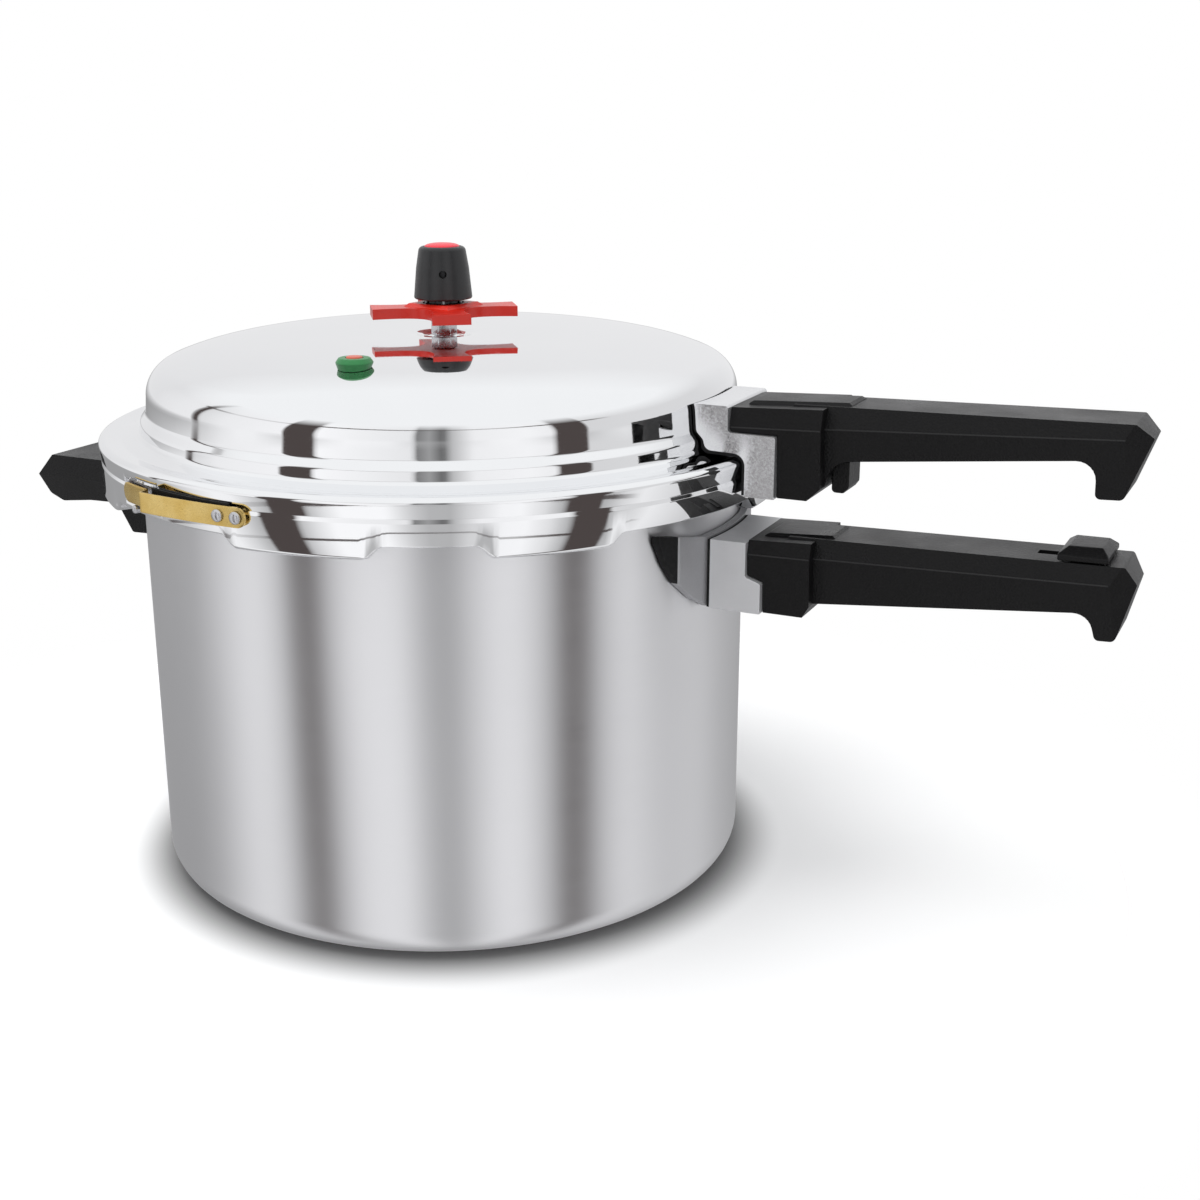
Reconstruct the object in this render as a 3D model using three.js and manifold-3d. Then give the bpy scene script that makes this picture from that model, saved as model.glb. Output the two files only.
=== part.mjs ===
// Stove-top pressure cooker with an outside-locking lid, in millimetres, +Z up.
// The origin is the centre of the pot's underside. The two long handles point along +X.
import * as THREE from 'three';
import { mergeVertices } from 'three/addons/utils/BufferGeometryUtils.js';
import Module from 'manifold-3d';

// Pot
const POT_RADIUS = 120;
const POT_WALL = 3;
const POT_BASE = 4.5;
const BASE_FILLET = 11.5;
const RIM_TOP = 170;
const RIM_BEAD = 3.4;
const RIM_BEAD_HEIGHT = 7.5;

// Lid: its skirt, flange and crown sit on the pot, its heights count from the pot's rim
const LID_WALL = 2.5;
const SKIRT_OVERHANG = 14.2;
const SKIRT_DROP = 13.5;
const NOTCH_HEIGHT = 4.5;
const FLANGE_RISE = 8.1;
const FLANGE_LIP = 1.2;
const CROWN_INSET = 3.7;
const CROWN_FLARE = 3.3;
const CROWN_HEIGHT = 14.7;
const SHOULDER_RADIUS = 13;
const SHOULDER_SLOPE = THREE.MathUtils.degToRad(22);
const DOME_RISE = 20.4;
const VENT_RECESS = 1.2;
const VENT_RECESS_RADIUS = 8;
const SKIRT_RADIUS = POT_RADIUS + SKIRT_OVERHANG;
const SKIRT_BOTTOM = RIM_TOP - SKIRT_DROP;
const FLANGE_TOP = RIM_TOP + FLANGE_RISE;
const FLANGE_RADIUS = SKIRT_RADIUS + FLANGE_LIP;
const CROWN_RADIUS = POT_RADIUS - CROWN_INSET;
const CROWN_FOOT = CROWN_RADIUS + CROWN_FLARE;
const SHOULDER_Z = FLANGE_TOP + CROWN_HEIGHT;
const APEX_Z = SHOULDER_Z + DOME_RISE;

// Bayonet lugs: two of different widths in every quarter turn
const LUG_GROUPS = 4;
const WIDE_LUG = { from: -93.5, to: -70.5 };
const NARROW_LUG = { from: -54.5, to: -34.5 };
const LID_LEDGE = 5.6;
const LID_LEDGE_HEIGHT = 3.1;
const POT_LUG_REACH = 10;
const POT_LUG_HEIGHT = 4;
const LUG_PLAY = 0.8;
const POT_WIDE_LUG_SPAN = 13;
const POT_NARROW_LUG_SPAN = 18;

// Long handles
const ROOT_WIDTH = 38;
const GRIP_WIDTH = 29;
const BRACKET_WIDTH = 41;
const TONGUE_WIDTH = 18;
const TONGUE_HEIGHT = 8;
const TONGUE_REACH = 16;
const HANDLE_SCREW_RADIUS = 2.4;
const HANDLE_SCREW_HEAD = 4.6;
const HANDLE_SCREW_LENGTH = 19;
const SCREW_HEAD_HEIGHT = 2.6;
const SCREW_INSET = 6;
const HANDLE_LENGTH = 149;
const ROOT_LENGTH = 38;
const LID_TONGUE_REACH = 13;
const HANDLE_END = POT_RADIUS + HANDLE_LENGTH;
const ROOT_END = POT_RADIUS + ROOT_LENGTH;

// Saddle plate under the pot handle's bracket
const SADDLE_THICKNESS = 3;
const SADDLE_WING = 27.8;
const SADDLE_WING_RISE = 5.2;
const SADDLE_DROP = 22.7;
const SADDLE_HEIGHT = 26.3;
const SADDLE_TOP = RIM_TOP - SADDLE_DROP;
const SADDLE_BOTTOM = SADDLE_TOP - SADDLE_HEIGHT;

// Helper handle opposite the long ones
const HELPER_WIDTH = 60;
const HELPER_ROOT_WIDTH = 44;
const HELPER_REACH = 70.5;
const HELPER_BRACKET_DEPTH = 14;
const HELPER_END = POT_RADIUS + HELPER_REACH;
const HELPER_BRACKET_END = POT_RADIUS + HELPER_BRACKET_DEPTH;

// Rivets
const POT_RIVET_RADIUS = 3;
const POT_RIVET_SPREAD = 12;
const LID_RIVET_RADIUS = 2.2;
const LID_RIVET_SPREAD = 9;
const RIVET_HEAD_HEIGHT = 2;

// Lock trigger under the lid handle and latch slide on the pot handle
const TRIGGER_THICKNESS = 6.4;
const TRIGGER_WIDTH = 14;
const TRIGGER_STEM_WIDTH = 8.8;
const TRIGGER_TRAVEL = 6;
const SPRING_RADIUS = 2.2;
const SPRING_WIRE = 0.45;
const SPRING_TURNS = 6;
const SPRING_LENGTH = 14;
const LATCH_LENGTH = 17;
const LATCH_WIDTH = 24;
const LATCH_KEY_WIDTH = 9.4;
const LATCH_TRAVEL = 8;

// Vent stem, star and weight
const STEM_BORE = 1.1;
const STEM_RADIUS = 4;
const STEM_COLLAR = 5.2;
const STEM_COLLAR_HEIGHT = 7.2;
const STEM_TUBE = 3.6;
const STEM_TUBE_HEIGHT = 12;
const STEM_TIP_HEIGHT = 3;
const STEM_THREAD = 13;
const STAR_REACH = 29.4;
const STAR_LOBE_WIDTH = 15;
const STAR_WAIST = 13;
const STAR_THICKNESS = 4;
const STAR_TURN = THREE.MathUtils.degToRad(36.5);
const NECK_RADIUS = 7.5;
const NECK_HEIGHT = 2.6;
const WEIGHT_RADIUS = 11.5;
const WEIGHT_TOP_RADIUS = 8.6;
const WEIGHT_HEIGHT = 20.2;
const WEIGHT_WALL = 2.9;
const WEIGHT_TOP_WALL = 3.4;
const STEAM_HOLE = 1.6;
const STEAM_HOLE_UP = 10.2;
const STEAM_HOLE_ANGLE = -59.5;
const CAP_RADIUS = 6.9;
const CAP_DOME = 1.3;

// Safety plug and its pin
const PLUG_PLACE = 80;
const PLUG_ANGLE = THREE.MathUtils.degToRad(-83);
const PLUG_RADIUS = 6.6;
const PLUG_HEAD = 3;
const PLUG_WAIST = 4.6;
const PLUG_FLANGE = 6.2;
const PLUG_FLANGE_HEIGHT = 3;
const PIN_RADIUS = 3;
const PIN_STOP = 4.6;
const PIN_TRAVEL = 4;

// Spring leaf of the lid lock
const LEAF_DROP = 13.1;
const LEAF_WIDTH = 7.2;
const LEAF_LOW = FLANGE_TOP - LEAF_DROP;
const LEAF_HIGH = LEAF_LOW + LEAF_WIDTH;
const LEAF_THICKNESS = 0.8;
const LEAF_RIGHT = -89.4;
const LEAF_BEND = -109;
const LEAF_LEFT = -117.5;
const LEAF_STANDOFF = 4;
const LEAF_RIVETS = [-94.2, -91];
const LEAF_RIVET_RADIUS = 1.3;
const LEAF_RIVET_HEAD = 2.3;
const STOP_PIN_ANGLE = -114;
const STOP_PIN_RADIUS = 1.5;

// Clearances, and how far a cutter reaches past what it cuts
const GAP = 0.3;
const HOLE_GAP = 0.3;
const SLIDE_GAP = 0.4;
const SKIRT_GAP = 1.6;
const BRACKET_GAP = 0.8;
const THROUGH = 15;

// Facets of round work
const FINE_TURN = 60;
const RING_TURN = 48;
const MIDDLE_TURN = 32;
const SMALL_TURN = 16;
const ARC_STEP = 4;

// Sizes that follow from the ones above
const skirtInner = SKIRT_RADIUS - LID_WALL;
const flangeUnder = FLANGE_TOP - LID_WALL;
const potLugLow = SKIRT_BOTTOM + LID_LEDGE_HEIGHT + LUG_PLAY;
const ventSeat = APEX_Z - VENT_RECESS;
const collarTop = ventSeat + GAP + STEM_COLLAR_HEIGHT;
const starLow = collarTop + GAP;
const starTop = starLow + STAR_THICKNESS;
const neckLow = starTop + GAP;
const weightLow = neckLow + NECK_HEIGHT;
const tubeTop = collarTop + STEM_TUBE_HEIGHT;
const tipTop = tubeTop + STEM_TIP_HEIGHT;
const saddleOuter = POT_RADIUS + GAP + SADDLE_THICKNESS;
const rivetEnd = saddleOuter + 8.7;
const potRivetZ = (SADDLE_TOP + SADDLE_BOTTOM) / 2;
const lidRivetZ = FLANGE_TOP + 12;
const lidRivetEnd = CROWN_RADIUS + 8;
const leafInner = FLANGE_RADIUS + GAP;
const leafMiddle = (LEAF_LOW + LEAF_HIGH) / 2;
const stopPinZ = LEAF_LOW - GAP - STOP_PIN_RADIUS;

// Faces of the stepped joint between each long grip and its bracket
const POT_ROOT = {
  upperX: POT_RADIUS + 16.6,
  lowerX: POT_RADIUS + 22.6,
  stepZ: SADDLE_BOTTOM + 12.4,
  top: SADDLE_TOP + 0.9,
  bottom: SADDLE_BOTTOM - 0.2,
};
const LID_ROOT = {
  upperX: CROWN_RADIUS + 12.3,
  lowerX: FLANGE_RADIUS + 11.3,
  stepZ: FLANGE_TOP + 9.7,
  top: FLANGE_TOP + 18.3,
  bottom: FLANGE_TOP - 13.5,
};

// Heights and places of the tongues, screws, latch and trigger
const potTongueZ = SADDLE_BOTTOM + 15;
const lidTongueZ = LID_ROOT.bottom + 11.4;
const helperTongueZ = SADDLE_BOTTOM + 17;
const potScrewX = POT_ROOT.lowerX + SCREW_INSET;
const lidScrewX = LID_ROOT.lowerX + SCREW_INSET;
const helperScrewX = -HELPER_BRACKET_END - TONGUE_REACH + SCREW_INSET;
const helperHeadLow = SADDLE_BOTTOM + 1.6;
const latchZ = POT_ROOT.top + 3.4;
const latchFrom = HANDLE_END - 22.6;
const latchKeyTo = latchFrom + 13;
const triggerX = ROOT_END + 6;
const triggerShoulder = LID_ROOT.bottom + 13.4;
const triggerTop = triggerShoulder + 10;
const springZ = triggerTop - 4.6;
const springStart = triggerX + TRIGGER_THICKNESS + GAP;
const springEnd = springStart + SPRING_LENGTH;

const wasm = await Module();
wasm.setup();

const materials = {
  satinAluminium: new THREE.MeshStandardMaterial({ color: 0xc4c5c8, roughness: 0.35, metalness: 1 }),
  polishedAluminium: new THREE.MeshStandardMaterial({ color: 0xe6e8ea, roughness: 0.1, metalness: 1 }),
  castAluminium: new THREE.MeshStandardMaterial({ color: 0xd6d7d9, roughness: 0.3, metalness: 1 }),
  steel: new THREE.MeshStandardMaterial({ color: 0xb9bbbd, roughness: 0.25, metalness: 1 }),
  bakelite: new THREE.MeshStandardMaterial({ color: 0x1d1c1d, roughness: 0.45, metalness: 0 }),
  brass: new THREE.MeshStandardMaterial({ color: 0xd9b23c, roughness: 0.25, metalness: 1 }),
  whiteSilicone: new THREE.MeshStandardMaterial({ color: 0xdadad5, roughness: 0.6, metalness: 0 }),
  greenSilicone: new THREE.MeshStandardMaterial({ color: 0x1f8a4a, roughness: 0.45, metalness: 0 }),
  redPlastic: new THREE.MeshStandardMaterial({ color: 0xc8281e, roughness: 0.35, metalness: 0 }),
  blackPlastic: new THREE.MeshStandardMaterial({ color: 0x232527, roughness: 0.4, metalness: 0 }),
};

// The triangles of a geometry with shared corners merged and the collapsed ones on an axis left out.
function welded(geometry) {
  const bare = geometry.clone();
  bare.deleteAttribute('normal');
  bare.deleteAttribute('uv');
  const merged = mergeVertices(bare, 1e-4);
  const corners = merged.getIndex().array;
  const kept = [];
  for (let i = 0; i < corners.length; i += 3) {
    const [a, b, c] = [corners[i], corners[i + 1], corners[i + 2]];
    if (a !== b && b !== c && c !== a) kept.push(a, b, c);
  }
  merged.setIndex(kept);
  return merged;
}

function solid(geometry) {
  const merged = welded(geometry);
  return new wasm.Manifold(new wasm.Mesh({
    numProp: 3,
    vertProperties: new Float32Array(merged.getAttribute('position').array),
    triVerts: new Uint32Array(merged.getIndex().array),
  }));
}

function shaped(body) {
  const mesh = body.getMesh();
  const geometry = new THREE.BufferGeometry();
  geometry.setAttribute('position', new THREE.BufferAttribute(new Float32Array(mesh.vertProperties), 3));
  geometry.setIndex(new THREE.BufferAttribute(new Uint32Array(mesh.triVerts), 1));
  return geometry;
}

// A profile of [radius, height] pairs turned about Z, its outer side listed upwards.
function turned(profile, segments) {
  const points = profile.map(([radius, height]) => new THREE.Vector2(radius, height));
  if (profile[0][0] > 0) points.push(points[0].clone());
  return new THREE.LatheGeometry(points, segments).rotateX(Math.PI / 2);
}

// An outline of [x, z] pairs made into a bar of the given width across the handles' middle plane.
function sideBar(outline, width) {
  const shape = new THREE.Shape(outline.map(([x, z]) => new THREE.Vector2(x, z)));
  const bar = new THREE.ExtrudeGeometry(shape, { depth: width, bevelEnabled: false });
  return bar.rotateX(Math.PI / 2).translate(0, width / 2, 0);
}

// An outline of [x, y] pairs made into a plate between two heights.
function plate(outline, low, high) {
  const shape = new THREE.Shape(outline.map(([x, y]) => new THREE.Vector2(x, y)));
  return new THREE.ExtrudeGeometry(shape, { depth: high - low, bevelEnabled: false }).translate(0, 0, low);
}

function block(x1, x2, y1, y2, z1, z2) {
  const box = new THREE.BoxGeometry(x2 - x1, y2 - y1, z2 - z1);
  return box.translate((x1 + x2) / 2, (y1 + y2) / 2, (z1 + z2) / 2);
}

function barAlongX(radius, from, to, y, z, segments = SMALL_TURN) {
  const bar = new THREE.CylinderGeometry(radius, radius, to - from, segments).rotateZ(-Math.PI / 2);
  return bar.translate((from + to) / 2, y, z);
}

function barAlongZ(radius, low, high, x, y, segments = SMALL_TURN) {
  const bar = new THREE.CylinderGeometry(radius, radius, high - low, segments).rotateX(Math.PI / 2);
  return bar.translate(x, y, (low + high) / 2);
}

function polar(radius, degrees) {
  const angle = THREE.MathUtils.degToRad(degrees);
  return [radius * Math.cos(angle), radius * Math.sin(angle)];
}

function arcPoints(radius, from, to) {
  const steps = Math.max(2, Math.ceil(Math.abs(to - from) / ARC_STEP));
  const points = [];
  for (let i = 0; i <= steps; i += 1) points.push(polar(radius, from + ((to - from) * i) / steps));
  return points;
}

function ringSector(inner, outer, from, to) {
  return [...arcPoints(outer, from, to), ...arcPoints(inner, to, from)];
}

// Points of a quarter-like arc of a profile, from one angle to another about a centre.
function profileArc(centreR, centreZ, radius, fromDegrees, toDegrees, steps) {
  const points = [];
  for (let i = 0; i <= steps; i += 1) {
    const angle = THREE.MathUtils.degToRad(fromDegrees + ((toDegrees - fromDegrees) * i) / steps);
    points.push([centreR + radius * Math.cos(angle), centreZ + radius * Math.sin(angle)]);
  }
  return points;
}

const group = new THREE.Group();

function add(name, geometry, material) {
  const mesh = new THREE.Mesh(geometry, material);
  mesh.name = name;
  group.add(mesh);
}

// Height of the lid's outer skin over the dome, from the shoulder's end to the apex.
const domeRadius = CROWN_RADIUS - SHOULDER_RADIUS + SHOULDER_RADIUS * Math.sin(SHOULDER_SLOPE);
const domeEdge = SHOULDER_Z + SHOULDER_RADIUS * Math.cos(SHOULDER_SLOPE);
const domeDrop = APEX_Z - domeEdge;
const domePower = (domeRadius * Math.tan(SHOULDER_SLOPE)) / domeDrop;
function domeHeight(radius) {
  return APEX_Z - domeDrop * (radius / domeRadius) ** domePower;
}

// Rings of the faceted dome between its edge and the vent's recess, and the facets' height.
const domeRings = [1, 0.8, 0.6].map((share) => domeRadius * share);
function skinHeight(radius) {
  const outer = domeRings.findLast((ring) => ring >= radius) ?? domeRings[0];
  const inner = domeRings[domeRings.indexOf(outer) + 1] ?? VENT_RECESS_RADIUS + 4;
  const innerHeight = inner < domeRings.at(-1) ? APEX_Z : domeHeight(inner);
  return innerHeight + ((domeHeight(outer) - innerHeight) * (radius - inner)) / (outer - inner);
}

// Outer skin of the lid from the flange edge to the axis, moved outwards by an offset.
function lidSkin(offset) {
  const shoulderAngle = 90 - THREE.MathUtils.radToDeg(SHOULDER_SLOPE);
  const points = [
    [FLANGE_RADIUS + offset, FLANGE_TOP - 1.9],
    [FLANGE_RADIUS - 1.6 + offset * 0.6, FLANGE_TOP + offset],
    [CROWN_FOOT + 2 + offset, FLANGE_TOP + offset],
    [CROWN_FOOT + offset, FLANGE_TOP + 1.3 + offset * 0.4],
    [CROWN_FOOT - 0.3 + offset, FLANGE_TOP + 5.2],
    [CROWN_RADIUS + 1.2 + offset, FLANGE_TOP + 8.1],
    [CROWN_RADIUS + offset, FLANGE_TOP + 10.7],
    ...profileArc(CROWN_RADIUS - SHOULDER_RADIUS, SHOULDER_Z, SHOULDER_RADIUS + offset, 0, shoulderAngle, 3),
  ];
  for (const ring of domeRings.slice(1)) points.push([ring, domeHeight(ring) + offset]);
  points.push([VENT_RECESS_RADIUS + 4 + offset, APEX_Z + offset]);
  points.push([VENT_RECESS_RADIUS + offset, ventSeat + offset]);
  points.push([0, ventSeat + offset]);
  return points;
}

// Drawn aluminium pot: flat base, straight wall, beaded rim and the lugs that the lid hooks under.
function potBody() {
  const inner = POT_RADIUS - POT_WALL;
  const innerFillet = BASE_FILLET - POT_WALL;
  const profile = [
    [0, 0],
    ...profileArc(POT_RADIUS - BASE_FILLET, BASE_FILLET, BASE_FILLET, -90, 0, 5),
    [POT_RADIUS, RIM_TOP - RIM_BEAD_HEIGHT - 1],
    [POT_RADIUS + RIM_BEAD, RIM_TOP - RIM_BEAD_HEIGHT + 1],
    [POT_RADIUS + RIM_BEAD, RIM_TOP - 1.5],
    [POT_RADIUS + RIM_BEAD - 1.5, RIM_TOP],
    [inner, RIM_TOP],
    ...profileArc(inner - innerFillet, POT_BASE + innerFillet, innerFillet, 0, -90, 3),
    [0, POT_BASE],
  ];
  let pot = solid(turned(profile, FINE_TURN));
  const spans = [
    [(WIDE_LUG.from + WIDE_LUG.to) / 2, POT_WIDE_LUG_SPAN],
    [(NARROW_LUG.from + NARROW_LUG.to) / 2, POT_NARROW_LUG_SPAN],
  ];
  for (let quarter = 0; quarter < LUG_GROUPS; quarter += 1) {
    for (const [middle, span] of spans) {
      const centre = middle + (360 / LUG_GROUPS) * quarter;
      const outline = ringSector(
        POT_RADIUS - POT_WALL / 2, POT_RADIUS + POT_LUG_REACH, centre - span / 2, centre + span / 2,
      );
      pot = pot.add(solid(plate(outline, potLugLow, potLugLow + POT_LUG_HEIGHT)));
    }
  }
  for (const side of [-1, 1]) {
    const y = side * POT_RIVET_SPREAD;
    const hole = wallHole(y);
    pot = pot.subtract(solid(hole)).subtract(solid(hole.clone().rotateZ(Math.PI)));
  }
  return shaped(pot);
}

// Hole for a rivet through the pot's wall and what is riveted to it.
function wallHole(y) {
  const radius = POT_RIVET_RADIUS + HOLE_GAP;
  return barAlongX(radius, POT_RADIUS - THROUGH, rivetEnd + 1, y, potRivetZ);
}

// Pressed and polished lid: dome, crown, flange and skirt with bayonet ledges, notches and leaf window.
function lidShell() {
  const innerShoulder = SHOULDER_RADIUS - LID_WALL;
  const shoulderAngle = 90 - THREE.MathUtils.radToDeg(SHOULDER_SLOPE);
  const inside = [[0, ventSeat - LID_WALL], [VENT_RECESS_RADIUS + 3, ventSeat - LID_WALL]];
  inside.push([VENT_RECESS_RADIUS + 7, APEX_Z - LID_WALL]);
  for (const ring of domeRings.slice(1).reverse()) inside.push([ring, domeHeight(ring) - LID_WALL]);
  inside.push(
    ...profileArc(CROWN_RADIUS - SHOULDER_RADIUS, SHOULDER_Z, innerShoulder, shoulderAngle, 0, 2),
    [CROWN_RADIUS - LID_WALL, FLANGE_TOP + 10.7],
    [CROWN_FOOT - LID_WALL - 0.3, FLANGE_TOP + 5],
    [CROWN_FOOT - LID_WALL, flangeUnder + 1.4],
    [CROWN_FOOT - LID_WALL + 1.6, flangeUnder],
    [skirtInner, flangeUnder],
    [skirtInner, SKIRT_BOTTOM + LID_LEDGE_HEIGHT],
    [skirtInner - LID_LEDGE, SKIRT_BOTTOM + LID_LEDGE_HEIGHT],
    [skirtInner - LID_LEDGE, SKIRT_BOTTOM],
    [SKIRT_RADIUS, SKIRT_BOTTOM],
    [SKIRT_RADIUS + 0.6, FLANGE_TOP - 8.2],
    [SKIRT_RADIUS + 0.2, FLANGE_TOP - 7.4],
  );
  let lid = solid(turned([...inside, ...lidSkin(0)], FINE_TURN));
  const cutOuter = FLANGE_RADIUS + 6;
  for (let quarter = 0; quarter < LUG_GROUPS; quarter += 1) {
    const turn = (360 / LUG_GROUPS) * quarter;
    const gaps = [
      [WIDE_LUG.to + turn, NARROW_LUG.from + turn],
      [NARROW_LUG.to + turn, WIDE_LUG.from + 360 / LUG_GROUPS + turn],
    ];
    for (const [from, to] of gaps) {
      const outline = ringSector(skirtInner - LID_LEDGE - 4, cutOuter, from, to);
      lid = lid.subtract(solid(plate(outline, SKIRT_BOTTOM - 4, SKIRT_BOTTOM + NOTCH_HEIGHT)));
    }
  }
  const leafWindow = ringSector(skirtInner - 2, cutOuter, LEAF_LEFT - 1.5, LEAF_BEND + 1.5);
  lid = lid.subtract(solid(plate(leafWindow, LEAF_LOW - 0.6, LEAF_HIGH + 0.6)));
  lid = lid.subtract(solid(barAlongZ(STEM_RADIUS + HOLE_GAP, ventSeat - 8, ventSeat + 8, 0, 0)));
  const [plugX, plugY] = plugCentre();
  lid = lid.subtract(solid(barAlongZ(PLUG_WAIST + HOLE_GAP, APEX_Z - 15, APEX_Z + 6, plugX, plugY)));
  for (const side of [-1, 1]) {
    const y = side * LID_RIVET_SPREAD;
    const hole = barAlongX(
      LID_RIVET_RADIUS + HOLE_GAP, CROWN_RADIUS - THROUGH, CROWN_RADIUS + THROUGH, y, lidRivetZ,
    );
    lid = lid.subtract(solid(hole));
  }
  for (const degrees of LEAF_RIVETS) {
    const hole = radialPin(LEAF_RIVET_RADIUS + HOLE_GAP, skirtInner - 3, cutOuter, degrees, leafMiddle);
    lid = lid.subtract(solid(hole));
  }
  const pinHole = radialPin(STOP_PIN_RADIUS + HOLE_GAP, skirtInner - 3, cutOuter, STOP_PIN_ANGLE, stopPinZ);
  return shaped(lid.subtract(solid(pinHole)));
}

// A round pin that points away from the pot's axis.
function radialPin(radius, from, to, degrees, z) {
  return barAlongX(radius, from, to, 0, 0).rotateZ(THREE.MathUtils.degToRad(degrees)).translate(0, 0, z);
}

function plugCentre() {
  return [PLUG_PLACE * Math.cos(PLUG_ANGLE), PLUG_PLACE * Math.sin(PLUG_ANGLE)];
}

// Silicone sealing ring between the pot's rim and the lid's flange, open towards the steam.
function sealingGasket() {
  const outer = skirtInner - GAP;
  const inner = POT_RADIUS - POT_WALL + 1;
  const low = RIM_TOP + GAP;
  const high = flangeUnder - GAP;
  const lip = 1.5;
  return turned([
    [inner, low],
    [outer, low],
    [outer, high - 0.9],
    [outer - 0.9, high],
    [inner + 1.4, high],
    [inner + 1.4, high - lip],
    [outer - 3, high - lip],
    [outer - 3, low + lip],
    [inner, low + lip],
  ], RING_TURN);
}

// Curved saddle plate between the pot wall and the cast bracket; its wings rise and taper at their ends.
function potHandleSaddle() {
  const flatHalf = BRACKET_WIDTH / 2 - 1.5;
  const reach = flatHalf + SADDLE_WING;
  const halfAngle = THREE.MathUtils.radToDeg(Math.asin(reach / saddleOuter));
  const outline = ringSector(POT_RADIUS + GAP, saddleOuter, -halfAngle, halfAngle);
  const top = SADDLE_TOP + SADDLE_WING_RISE;
  const wall = solid(plate(outline, SADDLE_BOTTOM, top));
  const face = [[0, 0], [0.36, 0.18], [0.66, 0.42], [0.85, 0.68], [1, 0.98]].map(([out, up]) => [
    flatHalf + out * SADDLE_WING,
    SADDLE_BOTTOM + up * (SADDLE_HEIGHT + SADDLE_WING_RISE - 2),
  ]);
  face.push([reach, top], [flatHalf, SADDLE_TOP]);
  const mirrored = face.map(([y, z]) => [-y, z]).reverse();
  const shape = new THREE.Shape([...face, ...mirrored].map(([y, z]) => new THREE.Vector2(y, z)));
  const window = new THREE.ExtrudeGeometry(shape, { depth: 2 * THROUGH, bevelEnabled: false });
  window.rotateX(Math.PI / 2).rotateZ(Math.PI / 2).translate(saddleOuter - 2 * THROUGH + 5, 0, 0);
  let saddle = wall.intersect(solid(window));
  for (const side of [-1, 1]) saddle = saddle.subtract(solid(wallHole(side * POT_RIVET_SPREAD)));
  return shaped(saddle);
}

// Cast aluminium bracket that carries the pot handle: a block with a tongue for the grip.
function potHandleBracket() {
  const { upperX, lowerX, stepZ, top, bottom } = POT_ROOT;
  const outline = [
    [POT_RADIUS - 8, bottom],
    [lowerX, bottom],
    [lowerX, stepZ - 1],
    [upperX, stepZ + 1],
    [upperX, top - 0.8],
    [POT_RADIUS - 8, top - 0.8],
  ];
  let bracket = solid(sideBar(outline, BRACKET_WIDTH));
  const tongueEnd = upperX + TONGUE_REACH;
  bracket = bracket.add(solid(block(
    upperX - 4, tongueEnd, -TONGUE_WIDTH / 2, TONGUE_WIDTH / 2,
    potTongueZ - TONGUE_HEIGHT / 2, potTongueZ + TONGUE_HEIGHT / 2,
  )));
  const low = bottom - THROUGH;
  const high = top + THROUGH;
  bracket = bracket.subtract(solid(barAlongZ(saddleOuter + GAP, low, high, 0, 0, FINE_TURN)));
  for (const side of [-1, 1]) bracket = bracket.subtract(solid(wallHole(side * POT_RIVET_SPREAD)));
  const screwHole = barAlongZ(HANDLE_SCREW_RADIUS + HOLE_GAP, low, high, potScrewX, 0);
  return shaped(bracket.subtract(solid(screwHole)));
}

// Moulded bakelite grip of the pot: a wide root, a slim bar and a hook at its end.
function potHandleGrip() {
  const { upperX, lowerX, stepZ, top, bottom } = POT_ROOT;
  const end = ROOT_END;
  const root = solid(sideBar([
    [upperX + GAP, stepZ + 1.4],
    [lowerX + GAP, stepZ - 0.6],
    [lowerX + GAP, bottom],
    [end, bottom],
    [end + 2.6, bottom + 4.4],
    [end + 2.6, top + 1.2],
    [end, top + 1.8],
    [upperX + GAP, top],
  ], ROOT_WIDTH));
  const bar = solid(sideBar([
    [end - 6, bottom + 3.6],
    [end + 2.6, bottom + 4.4],
    [HANDLE_END - 18, bottom + 14],
    [HANDLE_END - 14, bottom + 12.2],
    [HANDLE_END - 11.5, bottom + 8.6],
    [HANDLE_END - 8.6, bottom + 5],
    [HANDLE_END - 1.6, bottom + 5],
    [HANDLE_END + 3.6, bottom + 24.2],
    [HANDLE_END, top + 3.6],
    [end - 6, top + 1],
  ], GRIP_WIDTH));
  let grip = root.add(bar);
  grip = grip.subtract(solid(tonguePocket(upperX, TONGUE_REACH, potTongueZ)));
  for (const hole of screwHoles(potScrewX, bottom, potTongueZ)) grip = grip.subtract(solid(hole));
  const slot = block(
    latchFrom - LATCH_TRAVEL, latchKeyTo + SLIDE_GAP,
    -LATCH_KEY_WIDTH / 2 - SLIDE_GAP, LATCH_KEY_WIDTH / 2 + SLIDE_GAP, latchZ - 5, latchZ + THROUGH,
  );
  return shaped(grip.subtract(solid(slot)));
}

// The hollow in a grip's root that fits over its bracket's tongue.
function tonguePocket(faceX, reach, middleZ) {
  const halfWidth = TONGUE_WIDTH / 2 + SLIDE_GAP;
  const halfHeight = TONGUE_HEIGHT / 2 + SLIDE_GAP;
  return block(
    faceX - 2, faceX + reach + SLIDE_GAP, -halfWidth, halfWidth, middleZ - halfHeight, middleZ + halfHeight,
  );
}

// The stepped hole of a handle's screw, which comes from below and stops above the tongue.
function screwHoles(x, bottom, tongueZ) {
  const low = bottom - THROUGH;
  return [
    barAlongZ(HANDLE_SCREW_RADIUS + HOLE_GAP, low, tongueZ + TONGUE_HEIGHT / 2 + 5, x, 0),
    barAlongZ(HANDLE_SCREW_HEAD + HOLE_GAP, low, bottom + SCREW_HEAD_HEIGHT + 1, x, 0),
  ];
}

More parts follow.
